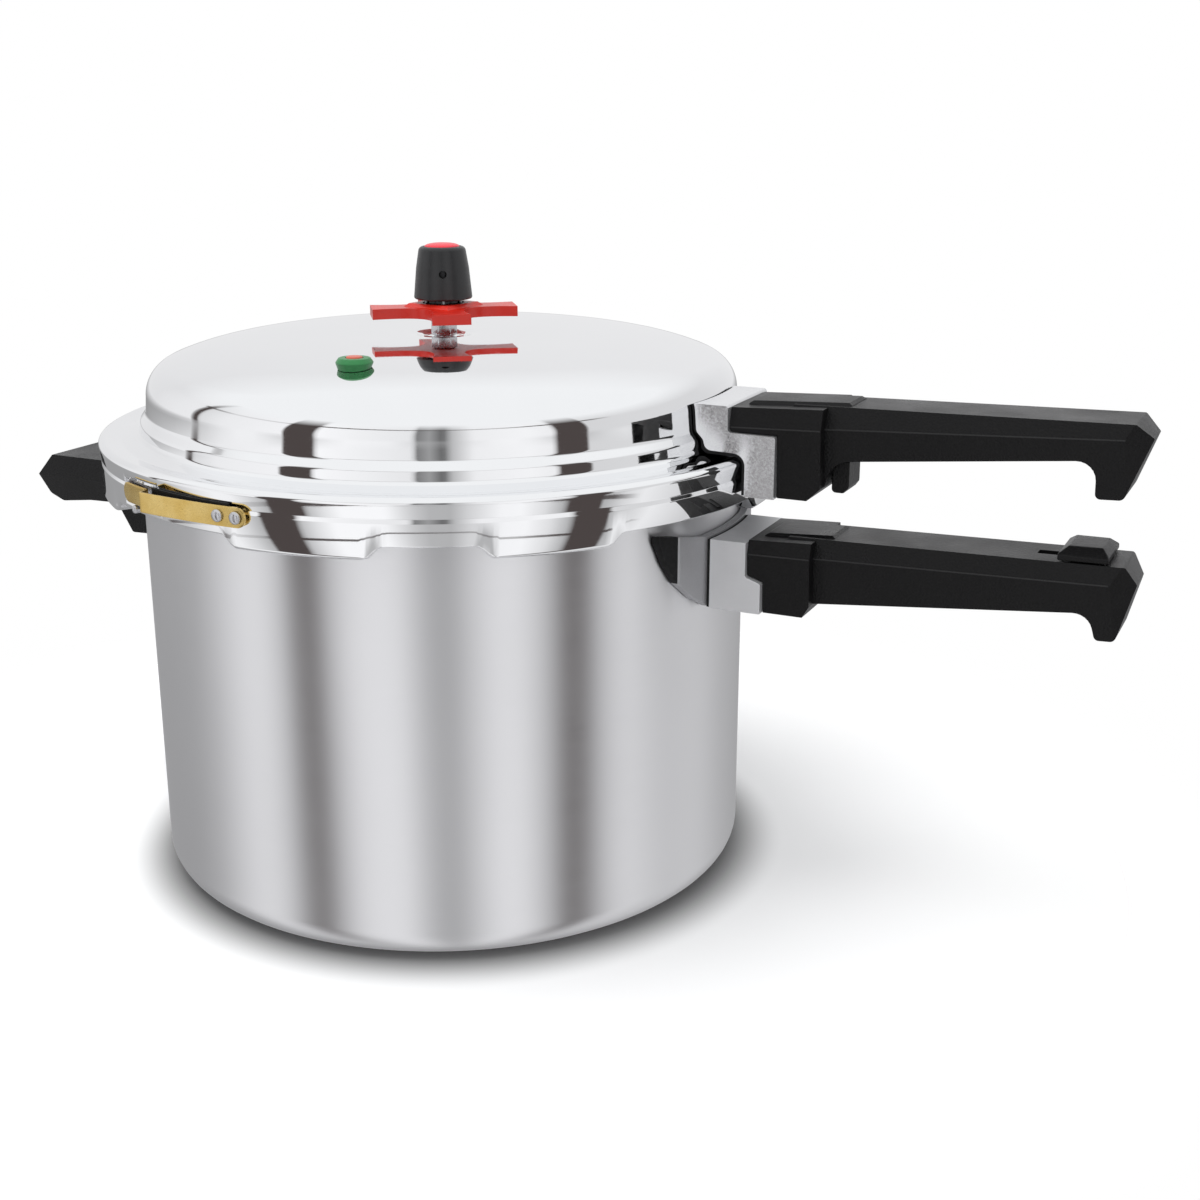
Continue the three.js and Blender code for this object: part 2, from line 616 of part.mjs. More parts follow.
// Latch that slides on the pot handle, held by a key in a slot.
function catchSlide() {
  const cap = solid(sideBar([
    [latchFrom, latchZ + SLIDE_GAP],
    [latchFrom + LATCH_LENGTH, latchZ + SLIDE_GAP + 0.3],
    [latchFrom + LATCH_LENGTH, latchZ + 3.6],
    [latchFrom + LATCH_LENGTH - 2, latchZ + 5.2],
    [latchFrom + 3, latchZ + 5],
    [latchFrom, latchZ + 2.4],
  ], LATCH_WIDTH));
  const key = block(
    latchFrom + 3, latchKeyTo, -LATCH_KEY_WIDTH / 2, LATCH_KEY_WIDTH / 2, latchZ - 4.4, latchZ + 2,
  );
  return shaped(cap.add(solid(key)));
}

// Cast bracket of the lid handle: it hugs the crown, crosses the flange and comes down the skirt.
function lidHandleBracket() {
  const { upperX, lowerX, stepZ, top, bottom } = LID_ROOT;
  const outline = [
    [CROWN_RADIUS - 8, FLANGE_TOP],
    [FLANGE_RADIUS - 8, FLANGE_TOP - 8],
    [FLANGE_RADIUS - 8, bottom],
    [lowerX, bottom],
    [lowerX, stepZ - GAP],
    [upperX, stepZ - GAP],
    [upperX, top + 1.6],
    [CROWN_RADIUS - 8, top + 0.6],
  ];
  let bracket = solid(sideBar(outline, BRACKET_WIDTH));
  bracket = bracket.add(solid(block(
    lowerX - 3, lowerX + LID_TONGUE_REACH, -TONGUE_WIDTH / 2, TONGUE_WIDTH / 2,
    lidTongueZ - TONGUE_HEIGHT / 2, lidTongueZ + TONGUE_HEIGHT / 2,
  )));
  const envelope = [
    [0, bottom - 5],
    [SKIRT_RADIUS + SKIRT_GAP, bottom - 5],
    [FLANGE_RADIUS + SKIRT_GAP, FLANGE_TOP - 4],
    ...lidSkin(BRACKET_GAP),
  ];
  bracket = bracket.subtract(solid(turned(envelope, FINE_TURN)));
  for (const side of [-1, 1]) {
    const hole = barAlongX(
      LID_RIVET_RADIUS + HOLE_GAP, CROWN_RADIUS - THROUGH, lidRivetEnd + 1, side * LID_RIVET_SPREAD, lidRivetZ,
    );
    bracket = bracket.subtract(solid(hole));
  }
  const screwHole = barAlongZ(HANDLE_SCREW_RADIUS + HOLE_GAP, bottom - 8, stepZ - 2, lidScrewX, 0);
  return shaped(bracket.subtract(solid(screwHole)));
}

// Moulded bakelite grip of the lid, with a pocket for the lock trigger and its spring.
function lidHandleGrip() {
  const { upperX, lowerX, stepZ, top, bottom } = LID_ROOT;
  const end = ROOT_END;
  const root = solid(sideBar([
    [upperX + GAP, stepZ],
    [lowerX + GAP, stepZ],
    [lowerX + GAP, bottom],
    [end, bottom],
    [end + 5, bottom + 4.6],
    [end + 5, top + 1.6],
    [end - 1.6, top + 2.4],
    [upperX + GAP, top],
  ], ROOT_WIDTH));
  const bar = solid(sideBar([
    [end - 6, bottom + 4],
    [end + 5.4, bottom + 5],
    [end + 9, bottom + 11],
    [end + 18, bottom + 15.4],
    [HANDLE_END - 22, bottom + 22.4],
    [HANDLE_END - 17, bottom + 20.4],
    [HANDLE_END - 13.6, bottom + 16],
    [HANDLE_END - 11, bottom + 10.8],
    [HANDLE_END - 2.6, bottom + 10.8],
    [HANDLE_END + 4.6, top - 0.8],
    [HANDLE_END - 0.6, top + 4.4],
    [end - 6, top + 1.6],
  ], GRIP_WIDTH));
  let grip = root.add(bar);
  grip = grip.subtract(solid(tonguePocket(lowerX, LID_TONGUE_REACH, lidTongueZ)));
  for (const hole of screwHoles(lidScrewX, bottom, lidTongueZ)) grip = grip.subtract(solid(hole));
  grip = grip.subtract(solid(block(
    triggerX - SLIDE_GAP, triggerX + TRIGGER_THICKNESS + TRIGGER_TRAVEL + 1,
    -TRIGGER_WIDTH / 2 - SLIDE_GAP, TRIGGER_WIDTH / 2 + SLIDE_GAP, bottom - 5, triggerShoulder + 1,
  )));
  grip = grip.subtract(solid(block(
    triggerX - SLIDE_GAP, springEnd + GAP, -TRIGGER_STEM_WIDTH / 2 - SLIDE_GAP,
    TRIGGER_STEM_WIDTH / 2 + SLIDE_GAP, triggerShoulder - 2, triggerTop + 1,
  )));
  return shaped(grip);
}

// Finger trigger that frees the lid lock; its stem runs in the grip's pocket.
function lockTrigger() {
  const { bottom } = LID_ROOT;
  const pad = solid(sideBar([
    [triggerX, bottom + 1.6],
    [triggerX + TRIGGER_THICKNESS - 1, bottom + 1.6],
    [triggerX + TRIGGER_THICKNESS, bottom + 3],
    [triggerX + TRIGGER_THICKNESS, triggerShoulder],
    [triggerX, triggerShoulder],
  ], TRIGGER_WIDTH));
  const stem = block(
    triggerX, triggerX + TRIGGER_THICKNESS, -TRIGGER_STEM_WIDTH / 2, TRIGGER_STEM_WIDTH / 2,
    triggerShoulder - 2, triggerTop,
  );
  return shaped(pad.add(solid(stem)));
}

class CoilCurve extends THREE.Curve {
  getPoint(share, target = new THREE.Vector3()) {
    const angle = share * SPRING_TURNS * 2 * Math.PI;
    const reach = SPRING_RADIUS - SPRING_WIRE;
    return target.set(
      springStart + SPRING_WIRE + share * (SPRING_LENGTH - 2 * SPRING_WIRE),
      reach * Math.cos(angle),
      springZ + reach * Math.sin(angle),
    );
  }
}

// Return spring behind the trigger's stem.
function triggerSpring() {
  const wire = new THREE.Shape();
  const sides = 6;
  for (let i = 0; i < sides; i += 1) {
    const angle = (i / sides) * 2 * Math.PI;
    const [x, y] = [SPRING_WIRE * Math.cos(angle), SPRING_WIRE * Math.sin(angle)];
    if (i === 0) wire.moveTo(x, y);
    else wire.lineTo(x, y);
  }
  return new THREE.ExtrudeGeometry(wire, {
    steps: SPRING_TURNS * 9, bevelEnabled: false, extrudePath: new CoilCurve(),
  });
}

// Pan-head screw that comes up through a grip's root and its bracket's tongue.
function handleScrew(x, headLow) {
  const head = headLow + SCREW_HEAD_HEIGHT;
  return turned([
    [0, headLow + 0.9],
    [1.2, headLow + 0.9],
    [1.6, headLow],
    [HANDLE_SCREW_HEAD - 1, headLow],
    [HANDLE_SCREW_HEAD, headLow + 1],
    [HANDLE_SCREW_HEAD, head],
    [HANDLE_SCREW_RADIUS, head],
    [HANDLE_SCREW_RADIUS, headLow + HANDLE_SCREW_LENGTH - 1],
    [HANDLE_SCREW_RADIUS - 1, headLow + HANDLE_SCREW_LENGTH],
    [0, headLow + HANDLE_SCREW_LENGTH],
  ], SMALL_TURN).translate(x, 0, 0);
}

// Mushroom-head rivet along X: its head is inside the shell and its shank points outwards.
function wallRivet(radius, headRadius, headX, tip, y, z) {
  const length = tip - headX;
  const rivet = turned([
    [0, 0],
    [headRadius - 1.4, 0],
    [headRadius, RIVET_HEAD_HEIGHT - 0.7],
    [headRadius, RIVET_HEAD_HEIGHT],
    [radius, RIVET_HEAD_HEIGHT],
    [radius, length],
    [0, length],
  ], SMALL_TURN);
  return rivet.rotateY(Math.PI / 2).translate(headX, y, z);
}

// Helper handle's bracket: a cast block with a tongue, shaped to the pot's wall.
function helperBracket() {
  const half = HELPER_ROOT_WIDTH / 2;
  const low = SADDLE_BOTTOM - THROUGH;
  const high = SADDLE_TOP + THROUGH;
  let bracket = solid(block(
    -HELPER_BRACKET_END, THROUGH - POT_RADIUS, -half, half, SADDLE_BOTTOM, SADDLE_TOP,
  ));
  bracket = bracket.add(solid(block(
    -HELPER_BRACKET_END - TONGUE_REACH, -HELPER_BRACKET_END + 3, -TONGUE_WIDTH / 2, TONGUE_WIDTH / 2,
    helperTongueZ - TONGUE_HEIGHT / 2, helperTongueZ + TONGUE_HEIGHT / 2,
  )));
  bracket = bracket.subtract(solid(barAlongZ(POT_RADIUS + GAP, low, high, 0, 0, FINE_TURN)));
  for (const side of [-1, 1]) {
    const hole = wallHole(side * POT_RIVET_SPREAD).rotateZ(Math.PI);
    bracket = bracket.subtract(solid(hole));
  }
  const screwHole = barAlongZ(HANDLE_SCREW_RADIUS + HOLE_GAP, low, high, helperScrewX, 0);
  return shaped(bracket.subtract(solid(screwHole)));
}

// Bakelite helper grip: a wide faceted bar on a narrower root.
function helperGrip() {
  const face = -HELPER_BRACKET_END - GAP;
  const rootEnd = face - 23.7;
  const under = SADDLE_BOTTOM + 12.6;
  const top = SADDLE_TOP + 4.6;
  const bar = solid(sideBar([
    [rootEnd + 2, under],
    [rootEnd - 10, under - 0.4],
    [-HELPER_END + 9, under - 2.2],
    [-HELPER_END + 2.4, under + 1.6],
    [-HELPER_END, under + 10],
    [-HELPER_END + 8, top],
    [rootEnd + 8, top],
    [rootEnd + 8, under + 4.4],
  ].reverse(), HELPER_WIDTH));
  const root = solid(sideBar([
    [face, SADDLE_BOTTOM - 0.6],
    [face - 12.7, SADDLE_BOTTOM - 1.2],
    [rootEnd, under],
    [rootEnd - 2, top - 1.1],
    [face, top - 1.1],
  ].reverse(), HELPER_ROOT_WIDTH));
  let grip = root.add(bar);
  grip = grip.subtract(solid(block(
    -HELPER_BRACKET_END - TONGUE_REACH - SLIDE_GAP, face + 2,
    -TONGUE_WIDTH / 2 - SLIDE_GAP, TONGUE_WIDTH / 2 + SLIDE_GAP,
    helperTongueZ - TONGUE_HEIGHT / 2 - SLIDE_GAP, helperTongueZ + TONGUE_HEIGHT / 2 + SLIDE_GAP,
  )));
  const screwBottom = helperHeadLow + GAP - 1;
  for (const hole of screwHoles(helperScrewX, screwBottom, helperTongueZ)) grip = grip.subtract(solid(hole));
  return shaped(grip);
}

// Brass spring leaf: it follows the skirt, stands off towards its bend and drops into the window.
function leafOutline() {
  const outer = [];
  const inner = [];
  const steps = 8;
  for (let i = 0; i <= steps; i += 1) {
    const share = i / steps;
    const degrees = LEAF_RIGHT + (LEAF_BEND - LEAF_RIGHT) * share;
    const radius = leafInner + LEAF_STANDOFF * share ** 2;
    outer.push(polar(radius + LEAF_THICKNESS, degrees - (i === steps ? 0.3 : 0)));
    inner.push(polar(radius, degrees));
  }
  const tongue = leafInner - 0.2;
  for (const degrees of [LEAF_BEND - 0.9, (LEAF_BEND + LEAF_LEFT) / 2, LEAF_LEFT]) {
    outer.push(polar(tongue + LEAF_THICKNESS, degrees));
    inner.push(polar(tongue, degrees + (degrees === LEAF_BEND - 0.9 ? 0.4 : 0)));
  }
  return [...outer, ...inner.reverse()];
}

function lockLeaf() {
  let leaf = solid(plate(leafOutline(), LEAF_LOW, LEAF_HIGH));
  for (const degrees of LEAF_RIVETS) {
    const hole = radialPin(
      LEAF_RIVET_RADIUS + HOLE_GAP, leafInner - THROUGH, leafInner + THROUGH, degrees, leafMiddle,
    );
    leaf = leaf.subtract(solid(hole));
  }
  return shaped(leaf);
}

// Small dome-head rivet through the leaf into the skirt.
function leafRivet(degrees) {
  const headLow = leafInner + LEAF_THICKNESS + GAP + 0.1;
  const rivet = turned([
    [0, skirtInner + 0.5],
    [LEAF_RIVET_RADIUS, skirtInner + 0.5],
    [LEAF_RIVET_RADIUS, headLow],
    [LEAF_RIVET_HEAD, headLow],
    [LEAF_RIVET_HEAD, headLow + 0.3],
    [LEAF_RIVET_HEAD * 0.7, headLow + 1.1],
    [0, headLow + 1.4],
  ], SMALL_TURN);
  rivet.rotateY(Math.PI / 2).rotateZ(THREE.MathUtils.degToRad(degrees));
  return rivet.translate(0, 0, leafMiddle);
}

// Steel stop pin under the leaf's tongue.
function leafStopPin() {
  const tip = leafInner + 1.4;
  const pin = turned([
    [0, skirtInner + 0.4],
    [STOP_PIN_RADIUS, skirtInner + 0.4],
    [STOP_PIN_RADIUS, tip - 0.8],
    [STOP_PIN_RADIUS * 0.6, tip],
    [0, tip],
  ], SMALL_TURN);
  pin.rotateY(Math.PI / 2).rotateZ(THREE.MathUtils.degToRad(STOP_PIN_ANGLE));
  return pin.translate(0, 0, stopPinZ);
}

// Vent stem: threaded foot, collar on the lid, bored tube and a seat for the weight.
function ventStem() {
  const foot = ventSeat - STEM_THREAD;
  return turned([
    [STEM_BORE, foot],
    [STEM_RADIUS - 0.6, foot],
    [STEM_RADIUS, foot + 0.8],
    [STEM_RADIUS, ventSeat + GAP],
    [STEM_COLLAR, ventSeat + GAP],
    [STEM_COLLAR, collarTop],
    [STEM_TUBE, collarTop],
    [STEM_TUBE, tubeTop],
    [STEM_BORE + 0.8, tipTop],
    [STEM_BORE, tipTop],
  ], 24);
}

// Washer and nut that hold the stem from inside the lid.
function ventWasher() {
  const high = ventSeat - LID_WALL - GAP;
  return turned([
    [STEM_RADIUS + HOLE_GAP, high - 1.4],
    [VENT_RECESS_RADIUS, high - 1.4],
    [VENT_RECESS_RADIUS, high],
    [STEM_RADIUS + HOLE_GAP, high],
  ], 24);
}

function ventNut() {
  const high = ventSeat - LID_WALL - 1.4 - 2 * GAP;
  const hexagon = [];
  for (let i = 0; i < 6; i += 1) hexagon.push(polar(7, 60 * i));
  const nut = solid(plate(hexagon, high - 4, high));
  return shaped(nut.subtract(solid(barAlongZ(STEM_RADIUS + HOLE_GAP, high - 8, high + 4, 0, 0, 24))));
}

// Star-shaped finger guard: four flat-ended lobes joined by hollow arcs around a raised hub.
function starGrip() {
  const outline = [];
  const lobeHalf = Math.asin(STAR_LOBE_WIDTH / 2 / STAR_REACH);
  for (let lobe = 0; lobe < 4; lobe += 1) {
    const middle = (lobe * Math.PI) / 2;
    const corner = (angle) => [STAR_REACH * Math.cos(angle), STAR_REACH * Math.sin(angle)];
    outline.push(corner(middle - lobeHalf), corner(middle + lobeHalf));
    const [fromX, fromY] = corner(middle + lobeHalf);
    const [toX, toY] = corner(middle + Math.PI / 2 - lobeHalf);
    const diagonal = middle + Math.PI / 4;
    const pull = 2 * STAR_WAIST - Math.hypot(fromX + toX, fromY + toY) / 2;
    for (let i = 1; i < 6; i += 1) {
      const share = i / 6;
      const [a, b, c] = [(1 - share) ** 2, 2 * share * (1 - share), share ** 2];
      outline.push([
        a * fromX + b * pull * Math.cos(diagonal) + c * toX,
        a * fromY + b * pull * Math.sin(diagonal) + c * toY,
      ]);
    }
  }
  let star = solid(plate(outline, starLow, starTop));
  star = star.subtract(solid(barAlongZ(STEM_TUBE + SLIDE_GAP, starLow - 5, starTop + 5, 0, 0, 24)));
  return shaped(star).rotateZ(STAR_TURN);
}

// Steel core of the weight: neck with steam outlets, blind bore and a conical seat.
function weightCore() {
  const bore = STEM_TUBE + SLIDE_GAP;
  const coreRadius = WEIGHT_RADIUS - WEIGHT_WALL - GAP;
  const top = weightLow + WEIGHT_HEIGHT - WEIGHT_TOP_WALL - GAP;
  let core = solid(turned([
    [0, tipTop + 0.5],
    [STEM_BORE + 1.2, tipTop + 0.5],
    [bore, tubeTop + 0.5],
    [bore, neckLow],
    [NECK_RADIUS, neckLow],
    [NECK_RADIUS, weightLow + 2],
    [coreRadius - 0.6, weightLow + 2],
    [coreRadius - 1.3, top],
    [0, top],
  ], 24));
  for (const turn of [0, 60, 120]) {
    const outlet = barAlongX(0.8, -12, 12, 0, 0, 8).rotateZ(THREE.MathUtils.degToRad(turn));
    core = core.subtract(solid(outlet.translate(0, 0, neckLow + 1.4)));
  }
  return shaped(core);
}

// Black plastic shell of the weight, open below, with a round seat for the cap and one side hole.
function weightShell() {
  const top = weightLow + WEIGHT_HEIGHT;
  const inner = WEIGHT_RADIUS - WEIGHT_WALL;
  const shell = solid(turned([
    [inner, weightLow],
    [WEIGHT_RADIUS - 0.5, weightLow],
    [WEIGHT_RADIUS, weightLow + 0.6],
    [WEIGHT_RADIUS - 1.2, weightLow + 12],
    [WEIGHT_TOP_RADIUS + 0.9, top - 2.2],
    [WEIGHT_TOP_RADIUS, top - 0.6],
    [WEIGHT_TOP_RADIUS - 0.9, top],
    [CAP_RADIUS + GAP, top],
    [CAP_RADIUS + GAP, top - WEIGHT_TOP_WALL],
    [inner - 0.8, top - WEIGHT_TOP_WALL],
  ], MIDDLE_TURN));
  const hole = radialPin(STEAM_HOLE, inner - 3, WEIGHT_RADIUS + 4, STEAM_HOLE_ANGLE, weightLow + STEAM_HOLE_UP);
  return shaped(shell.subtract(solid(hole)));
}

// Red cap set in the top of the weight.
function weightCap() {
  const low = weightLow + WEIGHT_HEIGHT - WEIGHT_TOP_WALL;
  const top = weightLow + WEIGHT_HEIGHT + CAP_DOME;
  return turned([
    [0, low],
    [CAP_RADIUS, low],
    [CAP_RADIUS, top - 1.2],
    [CAP_RADIUS - 1, top - 0.6],
    [CAP_RADIUS / 2, top - 0.15],
    [0, top],
  ], 24);
}

// Green silicone safety plug that is pushed into the lid, with a bore for its pin.
const plugSeat = skinHeight(PLUG_PLACE - PLUG_RADIUS) + GAP;
const plugUnder = skinHeight(PLUG_PLACE + PLUG_FLANGE) - LID_WALL - GAP;
function safetyPlug() {
  const under = plugUnder;
  const [x, y] = plugCentre();
  return turned([
    [PIN_RADIUS + HOLE_GAP, under - PLUG_FLANGE_HEIGHT],
    [PLUG_FLANGE - 1, under - PLUG_FLANGE_HEIGHT],
    [PLUG_FLANGE, under - 0.6],
    [PLUG_FLANGE, under],
    [PLUG_WAIST, under],
    [PLUG_WAIST, plugSeat],
    [PLUG_RADIUS - 0.8, plugSeat],
    [PLUG_RADIUS, plugSeat + 1.3],
    [PLUG_RADIUS - 0.8, plugSeat + 2.6],
    [PLUG_RADIUS - 2.4, plugSeat + PLUG_HEAD],
    [PIN_RADIUS + HOLE_GAP, plugSeat + PLUG_HEAD],
  ], MIDDLE_TURN).translate(x, y, 0);
}

// Red pin that rises in the plug when the pot is under pressure.
function safetyPin() {
  const top = plugSeat + PLUG_HEAD + 0.5;
  const stopTop = plugUnder - PLUG_FLANGE_HEIGHT - PIN_TRAVEL - GAP;
  const [x, y] = plugCentre();
  return turned([
    [0, stopTop - 2],
    [PIN_STOP - 0.6, stopTop - 2],
    [PIN_STOP, stopTop - 1.4],
    [PIN_STOP, stopTop],
    [PIN_RADIUS, stopTop],
    [PIN_RADIUS, top - 0.5],
    [PIN_RADIUS - 0.6, top],
    [0, top],
  ], 24).translate(x, y, 0);
}

const rivetHeadX = POT_RADIUS - POT_WALL - 1.7 - RIVET_HEAD_HEIGHT;
const lidRivetHeadX = CROWN_RADIUS - LID_WALL - 1.2 - RIVET_HEAD_HEIGHT;

add('pot_body', potBody(), materials.satinAluminium);
add('pot_handle_saddle', potHandleSaddle(), materials.castAluminium);
add('pot_handle_bracket', potHandleBracket(), materials.polishedAluminium);
add('pot_handle_grip', potHandleGrip(), materials.bakelite);
add('pot_handle_screw', handleScrew(potScrewX, POT_ROOT.bottom + 0.8), materials.steel);
add('catch_slide', catchSlide(), materials.bakelite);
add('helper_bracket', helperBracket(), materials.castAluminium);
add('helper_grip', helperGrip(), materials.bakelite);
add('helper_screw', handleScrew(helperScrewX, helperHeadLow), materials.steel);
for (const [side, label] of [[-1, 'near'], [1, 'far']]) {
  const y = side * POT_RIVET_SPREAD;
  const rivet = () => wallRivet(POT_RIVET_RADIUS, 5.2, rivetHeadX, rivetEnd, y, potRivetZ);
  add(`pot_bracket_rivet_${label}`, rivet(), materials.castAluminium);
  add(`helper_rivet_${label}`, rivet().rotateZ(Math.PI).translate(0, 2 * y, 0), materials.castAluminium);
  add(
    `lid_bracket_rivet_${label}`,
    wallRivet(LID_RIVET_RADIUS, 4, lidRivetHeadX, lidRivetEnd, side * LID_RIVET_SPREAD, lidRivetZ),
    materials.castAluminium,
  );
}
add('lid_shell', lidShell(), materials.polishedAluminium);
add('sealing_gasket', sealingGasket(), materials.whiteSilicone);
add('lid_handle_bracket', lidHandleBracket(), materials.polishedAluminium);
add('lid_handle_grip', lidHandleGrip(), materials.bakelite);
add('lid_handle_screw', handleScrew(lidScrewX, LID_ROOT.bottom + 0.8), materials.steel);
add('lock_trigger', lockTrigger(), materials.bakelite);
add('trigger_spring', triggerSpring(), materials.steel);
add('lock_leaf', lockLeaf(), materials.brass);
LEAF_RIVETS.forEach((degrees, i) => add(`leaf_rivet_${i + 1}`, leafRivet(degrees), materials.steel));
add('leaf_stop_pin', leafStopPin(), materials.steel);
add('vent_stem', ventStem(), materials.steel);
add('vent_washer', ventWasher(), materials.whiteSilicone);
add('vent_nut', ventNut(), materials.steel);
add('star_grip', starGrip(), materials.redPlastic);
add('weight_core', weightCore(), materials.steel);
add('weight_shell', weightShell(), materials.blackPlastic);
add('weight_cap', weightCap(), materials.redPlastic);
add('safety_plug', safetyPlug(), materials.greenSilicone);
add('safety_pin', safetyPin(), materials.redPlastic);

export default group;
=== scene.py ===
import math

import bmesh
import bpy
from mathutils import Matrix, Vector


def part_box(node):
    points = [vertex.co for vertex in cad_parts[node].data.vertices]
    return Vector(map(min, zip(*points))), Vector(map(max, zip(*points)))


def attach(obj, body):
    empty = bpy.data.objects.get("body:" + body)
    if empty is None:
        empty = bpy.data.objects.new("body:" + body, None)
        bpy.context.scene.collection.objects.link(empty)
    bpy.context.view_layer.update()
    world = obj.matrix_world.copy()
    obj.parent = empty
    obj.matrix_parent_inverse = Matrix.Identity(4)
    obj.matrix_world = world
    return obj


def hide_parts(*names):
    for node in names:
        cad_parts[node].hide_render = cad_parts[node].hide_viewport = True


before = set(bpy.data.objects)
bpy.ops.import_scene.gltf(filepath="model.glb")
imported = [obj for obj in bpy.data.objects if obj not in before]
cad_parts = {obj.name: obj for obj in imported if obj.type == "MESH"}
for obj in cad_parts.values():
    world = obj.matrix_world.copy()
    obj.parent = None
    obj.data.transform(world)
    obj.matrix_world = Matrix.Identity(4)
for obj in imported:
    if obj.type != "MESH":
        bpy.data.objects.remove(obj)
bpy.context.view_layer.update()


# Camera: a 50 mm lens in front of the cooker and a little above its lid, looking slightly down, with the
# long handles pointing away to the right.
camera_data = bpy.data.cameras.new("camera")
camera_data.sensor_width = 36.0
camera_data.lens = 50.2
camera = bpy.data.objects.new("camera", camera_data)
camera.location = (0.3395, -0.5763, 0.3076)
line_of_sight = Vector((-0.40684, 0.86457, -0.29495))
camera.rotation_euler = line_of_sight.to_track_quat("-Z", "Y").to_euler()
bpy.context.scene.collection.objects.link(camera)
bpy.context.scene.camera = camera
bpy.context.scene.view_settings.view_transform = "Standard"


# Stage: a white table top with a shadow painted where the pot stands on it, and around it a white tent
# with narrow dark gaps and thin seams, whose reflections run down the bright metal. Mirror rays pass through
# the table top.
TABLE_REACH = 6.0
TABLE_FADE = (0.16, 0.34)
# Painted contact shadow: over this ring round the pot's axis the table's colour goes from the dark tone to
# the white one.
PAINTED_SHADOW_RING = (0.113, 0.141)
PAINTED_SHADOW_TONES = (0.16, 0.93)
TENT_GAP = (0.075, 0.062, 0.060)
TENT_ROOF = (0.93, 0.94, 0.95, 1)
WAIST_BLEND = (-0.16, -0.04)
ROOF_BLEND = (0.42, 0.66)
LOWER_CLOTH = (
    (-180, 0.37), (-171, 0.44), (-160, 0.60), (-151, 0.79), (-142, 0.94), (-135, 0.92), (-128, 0.70),
    (-122, 0.46), (-121, None), (-109, None), (-108, 0.52), (-102, 0.80), (-96, 1.0), (-81, 1.0), (-71, 0.60),
    (-66, 0.48), (-59, 0.47), (-53, 0.68), (-42, 0.96), (-35, 0.98), (-27, 0.78), (-20, 0.44), (-19, None),
    (-7, None), (-6, 0.44), (2, 0.72), (10, 0.88), (30, 0.64), (50, 0.70), (70, 0.50), (110, 0.30),
    (180, 0.36),
)
UPPER_CLOTH = (
    (-180, 0.86), (-168, 0.88), (-167, None), (-164, None), (-163, 0.74), (-150, 0.88), (-122, 0.94),
    (-121, None), (-109, None), (-108, 1.0), (-72, 0.84), (-71, 0.20), (-66, 0.34), (-61, 0.12), (-58, 0.50),
    (-50, 0.90), (-30, 0.96), (-20, 0.90), (-19, None), (-7, None), (-6, 0.70), (12, 0.72), (60, 0.72),
    (100, 0.84), (130, 0.82), (160, 0.78), (180, 0.86),
)
SEAM_HEIGHTS = ((-1.0, 0), (-0.46, 1), (-0.43, 0), (0.40, 1), (0.445, 0))
SEAM_STRENGTH = (
    (-170, 0), (-168, 0.9), (-150, 0.2), (-124, 0.3), (-118, 1), (-92, 0.95), (-60, 0.55), (-40, 0.5),
    (-22, 1), (-2, 0.9), (8, 0),
)


def placed(name, bm):
    """An object in the scene made from a bmesh, which is used up."""
    mesh = bpy.data.meshes.new(name)
    bm.to_mesh(mesh)
    bm.free()
    made = bpy.data.objects.new(name, mesh)
    bpy.context.scene.collection.objects.link(made)
    return made


def add_node(tree, kind, feeds=(), **settings):
    """A shader node; feeds are pairs of an input and the value or the output that it takes."""
    made = tree.nodes.new("ShaderNode" + kind)
    for name, value in settings.items():
        setattr(made, name, value)
    for socket, source in feeds:
        if isinstance(source, bpy.types.NodeSocket):
            tree.links.new(source, made.inputs[socket])
        else:
            made.inputs[socket].default_value = source
    return made


def ranged(tree, value, ends, new_ends=(0, 1), **settings):
    """A value carried over from one pair of ends to another."""
    (low, high), (new_low, new_high) = ends, new_ends
    return add_node(tree, "MapRange", [
        ("Value", value), ("From Min", low), ("From Max", high), ("To Min", new_low), ("To Max", new_high),
    ], **settings).outputs["Result"]


def mixed(tree, share, first, second):
    """Mix of two colours by a share from 0 to 1."""
    feeds = [("Factor", share), ("A", first), ("B", second)]
    return add_node(tree, "Mix", feeds, data_type="RGBA").outputs["Result"]


def table_with_painted_shadow():
    paint = bpy.data.materials.new("table_with_painted_shadow")
    paint.use_nodes = True
    tree = paint.node_tree
    tree.nodes.clear()
    place = add_node(tree, "TexCoord").outputs["Object"]
    far = add_node(tree, "VectorMath", [(0, place)], operation="LENGTH").outputs["Value"]
    # Painted contact shadow: the table's colour is darker close to the pot's foot.
    shade = ranged(tree, far, PAINTED_SHADOW_RING, PAINTED_SHADOW_TONES, interpolation_type="SMOOTHSTEP")
    fade = ranged(tree, far, TABLE_FADE, interpolation_type="SMOOTHSTEP")
    mirror_ray = add_node(tree, "LightPath").outputs["Is Glossy Ray"]
    gone = add_node(tree, "Math", [(0, mirror_ray), (1, fade)], operation="MAXIMUM").outputs["Value"]
    white = add_node(tree, "BsdfDiffuse", [("Color", shade)]).outputs["BSDF"]
    clear = add_node(tree, "BsdfTransparent").outputs["BSDF"]
    table = add_node(tree, "MixShader", [("Fac", gone), (1, white), (2, clear)])
    add_node(tree, "OutputMaterial", [("Surface", table.outputs["Shader"])])
    return paint


def stage_floor():
    bm = bmesh.new()
    bmesh.ops.create_grid(bm, x_segments=1, y_segments=1, size=TABLE_REACH)
    floor = placed("floor", bm)
    floor.data.materials.append(table_with_painted_shadow())


def toned(tree, value, stops, interpolation="LINEAR"):
    """Colours over a value; each stop is (place, colour)."""
    ramp_node = add_node(tree, "ValToRGB", [("Fac", value)])
    ramp = ramp_node.color_ramp
    ramp.interpolation = interpolation
    while len(ramp.elements) < len(stops):
        ramp.elements.new(1.0)
    for element, (place, color) in zip(ramp.elements, stops):
        element.position = place
        element.color = (*color, 1)
    return ramp_node.outputs["Color"]


